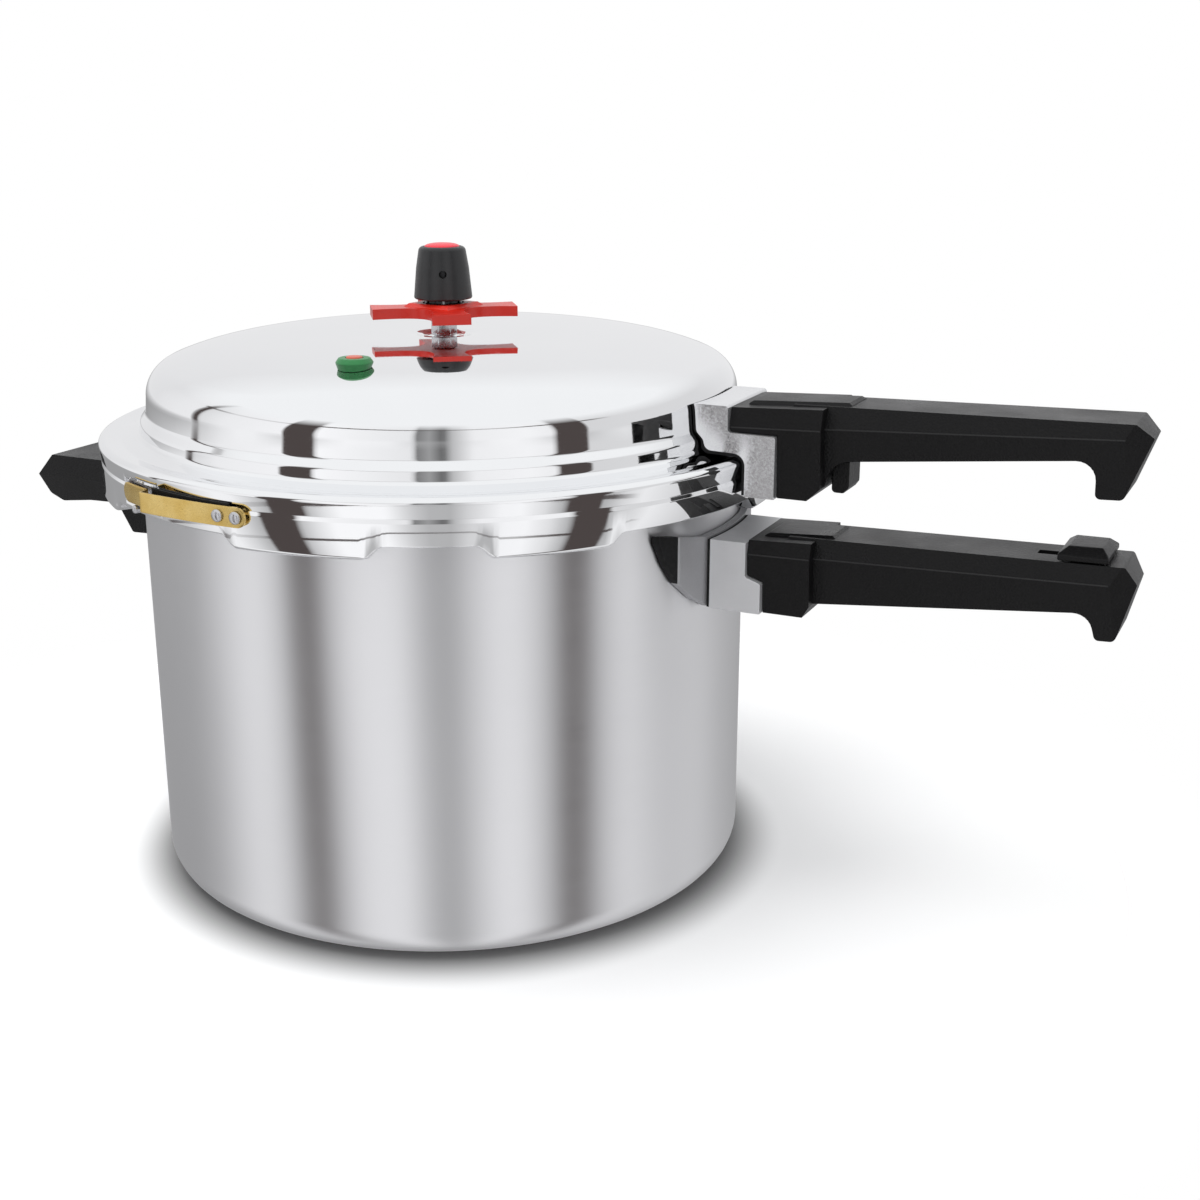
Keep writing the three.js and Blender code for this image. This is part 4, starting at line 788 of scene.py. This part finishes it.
pot_grip = combined(pot_root, [pot_bar, raised_pad(140.5, 167.0, 146.0, 149.3, 150.5)], "UNION")
pot_grip = combined(pot_grip, [
    block((130, 153), (131.6, 140.4), TONGUE_ROOM_HALF),
    block((238, 259.8), (147, 160), SLOT_HALF),
    screw_well(148.6, 124.4),
], "DIFFERENCE")
soften(pot_grip, 0.55 * MM, 12, 3)
piece("pot_grip", pot_grip, BAKELITE, "pot", ["pot_handle_grip"], weighted=True)


def parting_line(start, end, half_width):
    """Thin raised line where the halves of the mould met, from start to end, each (x, z) in mm."""
    low, high = -0.25, 0.25
    ends = ((start, low), (end, low), (end, high), (start, high))
    return side_bar([(x, z + rise, 0) for (x, z), rise in ends], half_width + 0.05 * MM)


MOULD_LINE = black_paint("mould_line", 0.45, gleam=0.6)
line = joined([
    parting_line((160, 142.7), (264.4, 145.55), GRIP_HALF),
    parting_line((137.2, 142.8), (160.3, 143.3), ROOT_HALF),
])
piece("pot_grip_line", line, MOULD_LINE, "pot", [])


# Catch on the pot grip: a bakelite slide with sloping ends and sides. A key moulded under it runs in the
# grip's slot and keeps it straight.
CATCH_HALF = 12 * MM
KEY_HALF = SLOT_HALF - 0.5 * MM
slide = side_bar([
    (246.4, 152.0, 0), (263.4, 152.3, 0), (263.4, 154.4, 0), (260.8, 156.8, 0), (249.4, 156.6, 0),
    (246.4, 154.2, 0),
], CATCH_HALF)
for side in (-1, 1):
    slice_off(slide, (0, side * CATCH_HALF, 153.9 * MM), (0, side * 0.55, 0.835))
soften(slide, 0.45 * MM, 20, 3)
key = block((249.4, 259.3), (147.2, 153.4), KEY_HALF)
soften(key, 0.3 * MM, 20, 2)
piece("catch", joined([slide, key]), BAKELITE, "catch", ["catch_slide"], weighted=True)


# Helper handle: a cast bracket riveted to the pot and a short wide bakelite grip, faceted all round a
# ridge, with a finger hollow below.
HELPER_ROOT_HALF = 22 * MM
HELPER_HALF = 30 * MM
HELPER_RIDGE = 143.6 * MM
helper_block = block((-134, -105), (121, 147.3), HELPER_ROOT_HALF)
helper_block = combined(helper_block, [wall_cylinder(SADDLE_INNER)], "DIFFERENCE")
soften(helper_block, 0.7 * MM, 35, 3)
piece("helper_block", helper_block, CAST, "pot", ["helper_bracket"], weighted=True)
helper_root = side_bar([
    (-134.3, 150.8, 0), (-160, 150.8, 0), (-160, 134.2, 0), (-155.4, 133.8, 5), (-147.2, 120.0, 1.5),
    (-134.3, 120.4, 0),
], HELPER_ROOT_HALF)
helper_bar = side_bar([
    (-150, 151.8, 0), (-185.6, 151.8, 0.6), (-190.4, 143.6, 0.4), (-187.0, 134.8, 3.2), (-181.0, 131.6, 3.2),
    (-165.0, 133.6, 0), (-150, 134.0, 0),
], HELPER_HALF)
for side in (-1, 1):
    for slant in (0.46, -0.30):
        normal = (0, side * math.cos(slant), math.sin(slant))
        slice_off(helper_bar, (0, side * HELPER_HALF, HELPER_RIDGE), normal)
hollow = bmesh.new()
bmesh.ops.create_uvsphere(hollow, u_segments=48, v_segments=24, radius=1.0)
bmesh.ops.scale(hollow, vec=(9.5 * MM, 25 * MM, 2.6 * MM), verts=hollow.verts[:])
bmesh.ops.translate(hollow, vec=(-170.6 * MM, 0, 132.2 * MM), verts=hollow.verts[:])
helper_tongue_room = block((-150.6, -130), (133.6, 142.4), TONGUE_ROOM_HALF)
helper = combined(helper_bar, [helper_root], "UNION")
helper = combined(helper, [helper_tongue_room, hollow], "DIFFERENCE")
soften(helper, 0.5 * MM, 20, 3)
piece("helper_handle", helper, BAKELITE, "pot", ["helper_grip"], weighted=True)


# Bracket of the lid handle: a polished casting that steps over the flange and hugs the crown. A thin black
# sheet of painted shade lies between it and the lid.
LID_BRACKET_LOW = 164.6
LID_BRACKET_HIGH = 197.2
LID_BRACKET_FACE = 146.7


def lid_bed(offset, lip):
    """Closed body of the lid's flange, crown and shoulder, made larger by an offset."""
    edge = FLANGE_RADIUS + offset
    foot = CROWN_FOOT + offset
    points = filleted([
        (0, 150 * MM, 0), (edge, 150 * MM, 0), (edge, FLANGE_TOP + 0.4 * MM + offset, lip),
        (foot, FLANGE_TOP + 0.9 * MM + offset, 3 * MM), (foot, FLANGE_TOP + 6 * MM, 2.6 * MM),
        (CROWN_RADIUS + 0.4 * MM + offset, FLANGE_TOP + 9 * MM, 3 * MM),
        (CROWN_RADIUS + offset, SHOULDER_Z, 0),
    ], 6)
    points += shoulder(offset, 12)
    return turned(points + [(0, points[-1][1])], segments=240)


def bracket_bar(inset, half_width):
    """The bracket's stepped side outline, a little smaller for the black sheet of painted shade."""
    return side_bar([
        (108, 176, 0), (128, 170, 0), (128, LID_BRACKET_LOW + inset, 0),
        (LID_BRACKET_FACE - inset, LID_BRACKET_LOW + inset, 0), (LID_BRACKET_FACE - inset, 187.4, 1.0),
        (128.6, 187.6, 1.4), (128.6, LID_BRACKET_HIGH - inset, 1.2), (108, LID_BRACKET_HIGH - inset, 0),
    ], half_width)


POLISHED_CAST = cast_aluminium("polished_casting", (0.80, 0.805, 0.82), 0.20, 0.012, 0.8)
lid_bracket = combined(bracket_bar(0, BRACKET_HALF), [lid_bed(1.6 * MM, 4.5 * MM)], "DIFFERENCE")
soften(lid_bracket, 0.7 * MM, 35, 3)
piece(
    "lid_bracket", lid_bracket, POLISHED_CAST, "lid", ["lid_handle_bracket"], weighted=True,
)
# Black sheet of painted shade in the joint between the bracket and the lid.
lid_shade_sheet = bracket_bar(0.4, BRACKET_HALF - 0.5 * MM)
lid_shade_sheet = combined(lid_shade_sheet, [lid_bed(0.35 * MM, 3.2 * MM)], "DIFFERENCE")
lid_shade_sheet = combined(lid_shade_sheet, [lid_bed(1.5 * MM, 4.5 * MM)], "INTERSECT")
piece("lid_bracket_shade_sheet", lid_shade_sheet, SHADE_BLACK, "lid", [])


# Long grip of the lid: bakelite like the pot's, with its root over the bracket and a pocket for the
# lock trigger.
LID_ROOT_END = 163
LID_GRIP_FACE = LID_BRACKET_FACE + GRIP_CLEARANCE
TRIGGER_HALF = 7 * MM
TRIGGER_STEM_HALF = 4.4 * MM
lid_root = side_bar([
    (128.9, 187.9, 1.2), (LID_GRIP_FACE, 187.9, 0), (LID_GRIP_FACE, LID_BRACKET_LOW, 0),
    (158, LID_BRACKET_LOW, 0), (LID_ROOT_END, 169.4, 0), (LID_ROOT_END, 197.9, 0), (128.9, 196.4, 0),
], ROOT_HALF)
ridge_facets(lid_root, (128.9, 189.4), (LID_ROOT_END, 190.6), ROOT_HALF, 15, 4)
lid_bar = side_bar([
    (150, 168.6, 0), (163.2, 169.4, 0), (165.6, 178.9, 9), (257.0, 187.9, 6.4), (257.2, 174.6, 1.8),
    (266.4, 175.0, 2.2), (274.0, 195.6, 0.5), (268.3, 200.7, 1.4), (150, 198.0, 0),
], GRIP_HALF)
ridge_facets(lid_bar, (158, 190.4), (273.5, 196.0), GRIP_HALF, 24, 5)
end_corners(lid_bar, 269.0)
lid_grip = combined(lid_root, [lid_bar, raised_pad(133.0, 171.0, 194.5, 198.0, 199.5)], "UNION")
lid_grip = combined(lid_grip, [
    block((144, 160.1), (171.6, 180.4), TONGUE_ROOM_HALF),
    block((163.6, 177.4), (160, 179), TRIGGER_HALF + 0.4 * MM),
    block((163.6, 185), (176, 189), TRIGGER_STEM_HALF + 0.4 * MM),
    screw_well(152.7, 168.2),
], "DIFFERENCE")
soften(lid_grip, 0.55 * MM, 12, 3)
piece("lid_grip", lid_grip, BAKELITE, "lid", ["lid_handle_grip"], weighted=True)
line = joined([
    parting_line((162.6, 190.55), (265.6, 195.59), GRIP_HALF),
    parting_line((129.2, 189.4), (162.7, 190.6), ROOT_HALF),
])
piece("lid_grip_line", line, MOULD_LINE, "lid", [])


# Lock trigger: a moulded bakelite finger pad under the root of the lid grip. Its stem goes up into a
# pocket, and the finger draws it back against a spring.
trigger_pad = side_bar([
    (164.0, 166.2, 1.6), (168.6, 166.2, 1.6), (170.4, 168.6, 1.4), (170.4, 178, 0), (164.0, 178, 0),
], TRIGGER_HALF)
soften(trigger_pad, 0.5 * MM, 25, 3)
trigger_stem = block((164.0, 170.4), (177, 188), TRIGGER_STEM_HALF)
soften(trigger_stem, 0.3 * MM, 25, 2)
trigger = joined([trigger_pad, trigger_stem])
piece("trigger", trigger, BAKELITE, "trigger", ["lock_trigger"], weighted=True)


# Lock leaf: a brass spring strip held by two domed steel rivets. It leaves the skirt towards its bend
# and drops its tongue through the window over a steel stop pin.
LEAF_FOOT = FLANGE_RADIUS + 0.3 * MM
LEAF_THICKNESS = 0.8 * MM
LEAF_RIGHT = -89.4
LEAF_BEND = -109.0
LEAF_LEFT = -117.5
RIVET_BEARINGS = (-94.2, -91.0)
STOP_PIN_BEARING = -114.0
leaf_middle = (leaf_low[2] + leaf_high[2]) / 2
leaf_half = (leaf_high[2] - leaf_low[2]) / 2


def brass():
    return finish(
        "brass", (0.78, 0.55, 0.17), 1.0, 0.24,
        {"Cloud Scale": 160, "Grain Scale": 1200, "Stretch": (1, 1, 8)},
        tint=("Cloud", (0.62, 0.40, 0.09), (0.86, 0.66, 0.28)), gloss=("Grain", 0.18, 0.34),
        relief=("Cloud", 0.10, 0.0004),
    )


def bright_steel():
    return finish(
        "bright_steel", (0.62, 0.62, 0.64), 1.0, 0.22, {"Cloud Scale": 200},
        tint=("Cloud", (0.50, 0.50, 0.52), (0.70, 0.70, 0.72)), gloss=("Grain", 0.14, 0.34),
        relief=("Grain", 0.04, 0.0001),
    )


def leaf_place(share, up):
    """Point on the leaf's inner face, share 0 at its right end and 1 at the end of its tongue."""
    degrees = LEAF_RIGHT + (LEAF_LEFT - LEAF_RIGHT) * share
    free = (LEAF_RIGHT - degrees) / (LEAF_RIGHT - LEAF_BEND)
    past = max(0.0, min(1.0, LEAF_BEND - degrees))
    radius = LEAF_FOOT + 4 * MM * min(free, 1.0) ** 2 * (1 - past) - 0.2 * MM * past
    arc = math.radians(LEAF_RIGHT - LEAF_LEFT) * LEAF_FOOT
    end = min(share, 1 - share) * arc / leaf_half
    width = math.sqrt(max(0.0, 1 - (1 - min(end, 1.0)) ** 2))
    turn = math.radians(degrees)
    return Vector((radius * math.cos(turn), radius * math.sin(turn), leaf_middle + leaf_half * up * width))


BRASS = brass()
STEEL = bright_steel()
leaf = bmesh.new()
bmesh.ops.create_grid(leaf, x_segments=150, y_segments=8, size=0.5)
for vert in leaf.verts:
    ends = 0.5 - 0.5 * math.cos(math.pi * (vert.co.x + 0.5))
    share = 0.35 * ends + 0.65 * (vert.co.x + 0.5)
    vert.co = leaf_place(share, vert.co.y * 2)
bmesh.ops.remove_doubles(leaf, verts=leaf.verts[:], dist=1e-6)
bmesh.ops.recalc_face_normals(leaf, faces=leaf.faces[:])
if sum(f.normal.dot(f.calc_center_median()) for f in leaf.faces) < 0:
    bmesh.ops.reverse_faces(leaf, faces=leaf.faces[:])
bmesh.ops.solidify(leaf, geom=leaf.faces[:], thickness=-LEAF_THICKNESS)
bmesh.ops.recalc_face_normals(leaf, faces=leaf.faces[:])
soften(leaf, 0.14 * MM, 60, 2)
piece("leaf", leaf, BRASS, "leaf", ["lock_leaf"], sharp=50)


# Black sheet of painted shade on the skirt behind the leaf, where the gap under the flange is dark.
shade_sheet_right = LEAF_RIGHT - 3
pad = arc_block(
    FLANGE_RADIUS - 0.6 * MM, LEAF_FOOT - 0.05 * MM, (shade_sheet_right + LEAF_BEND) / 2, shade_sheet_right - LEAF_BEND,
    leaf_low[2] + 0.3 * MM, leaf_high[2] + 0.8 * MM, 24, 0.2 * MM,
)
piece("leaf_shade_sheet", pad, SHADE_BLACK, "lid", [], weighted=True)


def laid_outwards(bm, degrees, height):
    """Lays an upright shape down so that it points away from the pot's axis at a bearing and a height."""
    for angle, axis in ((math.pi / 2, "Y"), (math.radians(degrees), "Z")):
        turn = Matrix.Rotation(angle, 3, axis)
        bmesh.ops.rotate(bm, cent=(0, 0, 0), matrix=turn, verts=bm.verts[:])
    bmesh.ops.translate(bm, vec=(0, 0, height), verts=bm.verts[:])
    return bm


def domed_rivet(radius, shank, root, seat, rise):
    """A rivet turned upright: its shank from root to seat, then the round head."""
    brim = seat + 0.25 * MM
    points = [(0, root), (shank, root), (shank, seat), (radius, seat), (radius, brim)]
    for step in range(1, 8):
        angle = math.pi / 2 * step / 8
        points.append((radius * math.cos(angle), brim + rise * math.sin(angle)))
    return turned(points + [(0, brim + rise)], 32)


rivet_seat = LEAF_FOOT + LEAF_THICKNESS + 0.25 * MM
for number, degrees in enumerate(RIVET_BEARINGS, 1):
    rivet = domed_rivet(2.3 * MM, 1.3 * MM, 132.3 * MM, rivet_seat, 1.3 * MM)
    laid_outwards(rivet, degrees, leaf_middle)
    piece(f"leaf_rivet_head_{number}", rivet, STEEL, "leaf", [f"leaf_rivet_{number}"])
pin_low, pin_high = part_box("leaf_stop_pin")
stop_pin = domed_rivet(1.5 * MM, 1.5 * MM, 132.2 * MM, LEAF_FOOT + 0.4 * MM, 0.9 * MM)
laid_outwards(stop_pin, STOP_PIN_BEARING, (pin_low[2] + pin_high[2]) / 2)
piece("leaf_pin", stop_pin, STEEL, "lid", ["leaf_stop_pin"])


# Vent: a steel stem through the dome with a six-sided collar, and on it the star-shaped finger guard,
# moulded in red plastic with a raised square hub.
stem_low, stem_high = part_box("vent_stem")
star_low, star_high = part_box("star_grip")
STEM_TUBE = 3.6 * MM
STAR_REACH = 29.4 * MM
STAR_LOBE = 15 * MM
STAR_WAIST = 13 * MM
STAR_TURN = math.radians(36.5)


def glossy_plastic(name, dark, light, roughness, coat):
    return finish(
        name, light, 0.0, roughness, {"Cloud Scale": 120, "Grain Scale": 1600},
        tint=("Cloud", dark, light), gloss=("Grain", roughness - 0.06, roughness + 0.1),
        relief=("Cloud", 0.05, 0.0003), plain={"Coat Weight": coat, "Coat Roughness": 0.12},
    )


stem = turned([
    (1.1 * MM, stem_low[2]), (3.4 * MM, stem_low[2]), (4 * MM, stem_low[2] + 0.8 * MM),
    (4 * MM, star_low[2] - 0.4 * MM), (STEM_TUBE, star_low[2]), (STEM_TUBE, stem_high[2] - 3 * MM),
    (1.9 * MM, stem_high[2]), (1.1 * MM, stem_high[2]),
], 48)
collar = upright_cylinder(5.2 * MM, VENT_SEAT + 0.3 * MM, star_low[2] - 0.3 * MM, 6)
soften(collar, 0.5 * MM, 25, 3)
piece("stem", joined([stem, collar]), STEEL, "lid", ["vent_stem"])


def star_outline():
    """Points of four flat-ended lobes joined by hollow curves."""
    half = math.asin(STAR_LOBE / 2 / STAR_REACH)
    points = []
    for lobe in range(4):
        middle = lobe * math.pi / 2 + STAR_TURN
        points += [(STAR_REACH, middle - half), (STAR_REACH, middle + half)]
        start = Vector((math.cos(middle + half), math.sin(middle + half))) * STAR_REACH
        turn = middle + math.pi / 2 - half
        goal = Vector((math.cos(turn), math.sin(turn))) * STAR_REACH
        diagonal = Vector((math.cos(middle + math.pi / 4), math.sin(middle + math.pi / 4)))
        pull = diagonal * (2 * STAR_WAIST - (start + goal).length / 2)
        for i in range(1, 14):
            share = i / 14
            spot = start * (1 - share) ** 2 + pull * (2 * share * (1 - share)) + goal * share ** 2
            points.append((spot.length, math.atan2(spot.y, spot.x)))
    return [(r * math.cos(a), r * math.sin(a)) for r, a in points]


RED = glossy_plastic("red_plastic", (0.46, 0.008, 0.003), (0.60, 0.020, 0.008), 0.34, 0.15)
star_top = star_high[2]
star = pushed([(x, y, star_low[2]) for x, y in star_outline()], (0, 0, star_top - star_low[2]))
hub = bmesh.new()
bmesh.ops.create_cone(
    hub, cap_ends=True, segments=4, radius1=17.5 * MM, radius2=13.6 * MM, depth=2.4 * MM,
    matrix=Matrix.Translation((0, 0, star_top + 0.1 * MM)) @ Matrix.Rotation(STAR_TURN, 4, "Z"),
)
star = combined(star, [hub], "UNION")
star = combined(star, [
    upright_cylinder(STEM_TUBE + 0.4 * MM, star_low[2] - 5 * MM, star_top + 8 * MM, 48),
    upright_cylinder(8.2 * MM, star_top + 0.05 * MM, star_top + 8 * MM, 64),
], "DIFFERENCE")
soften(star, 0.5 * MM, 30, 3)
piece("star", star, RED, "star", ["star_grip"], weighted=True)


# Weight: a steel core with steam outlets round its black neck, in a tapered black shell with one side
# hole and a red domed cap.
shell_low, shell_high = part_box("weight_shell")
cap_low, cap_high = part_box("weight_cap")
core_low, core_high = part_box("weight_core")
NECK_RADIUS = 7.5 * MM
CAP_RADIUS = 6.9 * MM
HOLE_RADIUS = 1.5 * MM
HOLE_BEARING = -59.5
OUTLET_RADIUS = 0.8 * MM


def soft_black():
    return finish(
        "black_plastic", (0.013, 0.0135, 0.0145), 0.0, 0.34, {"Cloud Scale": 90, "Grain Scale": 1500},
        tint=("Cloud", (0.009, 0.0095, 0.0105), (0.020, 0.0205, 0.022)), gloss=("Grain", 0.28, 0.44),
        relief=("Grain", 0.12, 0.0002),
    )


BLACK = soft_black()
core = turned(filleted([
    (0, stem_high[2] + 0.5 * MM, 0), (2.3 * MM, stem_high[2] + 0.5 * MM, 0),
    (4.0 * MM, stem_high[2] - 2.5 * MM, 0), (4.0 * MM, core_low[2], 0), (NECK_RADIUS, core_low[2], 0.3 * MM),
    (NECK_RADIUS, core_low[2] + 1.0 * MM, 0.2 * MM), (6.9 * MM, core_low[2] + 1.2 * MM, 0.1 * MM),
    (6.9 * MM, core_low[2] + 2.2 * MM, 0.1 * MM), (NECK_RADIUS, core_low[2] + 2.4 * MM, 0.1 * MM),
    (NECK_RADIUS, shell_low[2] + 2 * MM, 0), (7.7 * MM, shell_low[2] + 2 * MM, 0),
    (7.0 * MM, core_high[2], 0), (0, core_high[2], 0),
], 3), 64)
outlets = [
    laid_outwards(upright_cylinder(OUTLET_RADIUS, -12 * MM, 12 * MM, 20), 60 * step, core_low[2] + 1.4 * MM)
    for step in range(3)
]
core = combined(core, outlets, "DIFFERENCE")
NECK_BLACK = cast_aluminium("blackened_steel", (0.05, 0.05, 0.052), 0.30, 0.05)
piece("weight_neck", core, NECK_BLACK, "weight", ["weight_core"])

top = shell_high[2]
shell = turned(filleted([
    (8.6 * MM, shell_low[2], 0), (11.5 * MM, shell_low[2], 0.7 * MM),
    (10.35 * MM, shell_low[2] + 12 * MM, 12 * MM), (9.0 * MM, top, 1.9 * MM), (7.2 * MM, top, 0.2 * MM),
    (7.2 * MM, top - 3.4 * MM, 0), (7.8 * MM, top - 3.4 * MM, 0),
], 7), 96)
steam_hole = upright_cylinder(HOLE_RADIUS, 7.5 * MM, 15.5 * MM, 32)
laid_outwards(steam_hole, HOLE_BEARING, shell_low[2] + 10.2 * MM)
shell = combined(shell, [steam_hole], "DIFFERENCE")
piece("weight", shell, BLACK, "weight", ["weight_shell"], sharp=35)
CAP_RED = glossy_plastic("cap_red", (0.62, 0.018, 0.035), (0.76, 0.035, 0.060), 0.34, 0.15)
cap_brim = top - 0.1 * MM
cap_points = [(0, cap_low[2]), (CAP_RADIUS, cap_low[2]), (CAP_RADIUS, cap_brim)]
for step in range(1, 12):
    angle = math.pi / 2 * step / 12
    cap_points.append((
        CAP_RADIUS * math.cos(angle) ** 0.8, cap_brim + (cap_high[2] - cap_brim) * math.sin(angle),
    ))
cap = turned(cap_points + [(0, cap_high[2])], 64)
piece("weight_button", cap, CAP_RED, "weight", ["weight_cap"], sharp=50)


# Safety plug: a green silicone button pushed through a hole in the dome and gripping its edge, with a
# red pin in the middle that rises under pressure.
plug_low, plug_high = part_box("safety_plug")
riser_low, riser_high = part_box("safety_pin")
plug_x, plug_y = (plug_low[0] + plug_high[0]) / 2, (plug_low[1] + plug_high[1]) / 2
plug_seat = plug_high[2] - 3 * MM


def silicone(name, dark, light):
    return finish(
        name, light, 0.0, 0.42, {"Cloud Scale": 150}, tint=("Cloud", dark, light), gloss=("Grain", 0.34, 0.5),
        relief=("Grain", 0.06, 0.0002), plain={"Sheen Weight": 0.1},
    )


GREEN = silicone("green_silicone", (0.012, 0.14, 0.035), (0.022, 0.20, 0.055))
plug = turned(filleted([
    (3.3 * MM, plug_low[2], 0), (5.4 * MM, plug_low[2], 0.3 * MM),
    (6.2 * MM, plug_low[2] + 2.4 * MM, 0.3 * MM), (6.2 * MM, plug_low[2] + 3 * MM, 0),
    (4.6 * MM, plug_low[2] + 3 * MM, 0), (4.6 * MM, plug_seat, 0), (6.0 * MM, plug_seat, 0.2 * MM),
    (6.8 * MM, plug_seat + 1.3 * MM, 0.5 * MM), (5.6 * MM, plug_high[2], 0.6 * MM),
    (3.3 * MM, plug_high[2], 0.15 * MM),
], 4), 64)
bmesh.ops.translate(plug, vec=(plug_x, plug_y, 0), verts=plug.verts[:])
for vert in plug.verts:
    skin = dome_height(math.hypot(vert.co.x, vert.co.y)) + 0.15 * MM
    if plug_seat - 0.1 * MM < vert.co.z < plug_seat + 0.9 * MM:
        vert.co.z = min(vert.co.z, skin + (vert.co.z - plug_seat) * 0.5)
piece("plug", plug, GREEN, "lid", ["safety_plug"])
PIN_RED = glossy_plastic("pin_red", (0.42, 0.07, 0.04), (0.60, 0.13, 0.08), 0.38, 0.1)
riser = turned(filleted([
    (0, riser_low[2], 0), (4.6 * MM, riser_low[2], 0.4 * MM), (4.6 * MM, riser_low[2] + 2 * MM, 0),
    (3 * MM, riser_low[2] + 2 * MM, 0), (3 * MM, riser_high[2], 0.6 * MM), (0, riser_high[2], 0),
], 4), 48)
bmesh.ops.translate(riser, vec=(plug_x, plug_y, 0), verts=riser.verts[:])
piece("plug_pin", riser, PIN_RED, "pressure_pin", ["safety_pin"])


# Pieces that stay out of sight in the closed cooker: screws, rivets, the vent's nut and washer, the
# trigger's spring and the grey sealing ring.
GREY_RUBBER = silicone("grey_silicone", (0.30, 0.30, 0.31), (0.42, 0.42, 0.43))
HIDDEN = (
    (GREY_RUBBER, ("sealing_gasket", "vent_washer")),
    (STEEL, ("vent_nut", "trigger_spring", "pot_handle_screw", "helper_screw", "lid_handle_screw")),
    (CAST, (
        "pot_bracket_rivet_near", "pot_bracket_rivet_far", "helper_rivet_near", "helper_rivet_far",
        "lid_bracket_rivet_near", "lid_bracket_rivet_far",
    )),
)
for material, names in HIDDEN:
    for name in names:
        for slot in bpy.data.objects[name].material_slots:
            slot.material = material
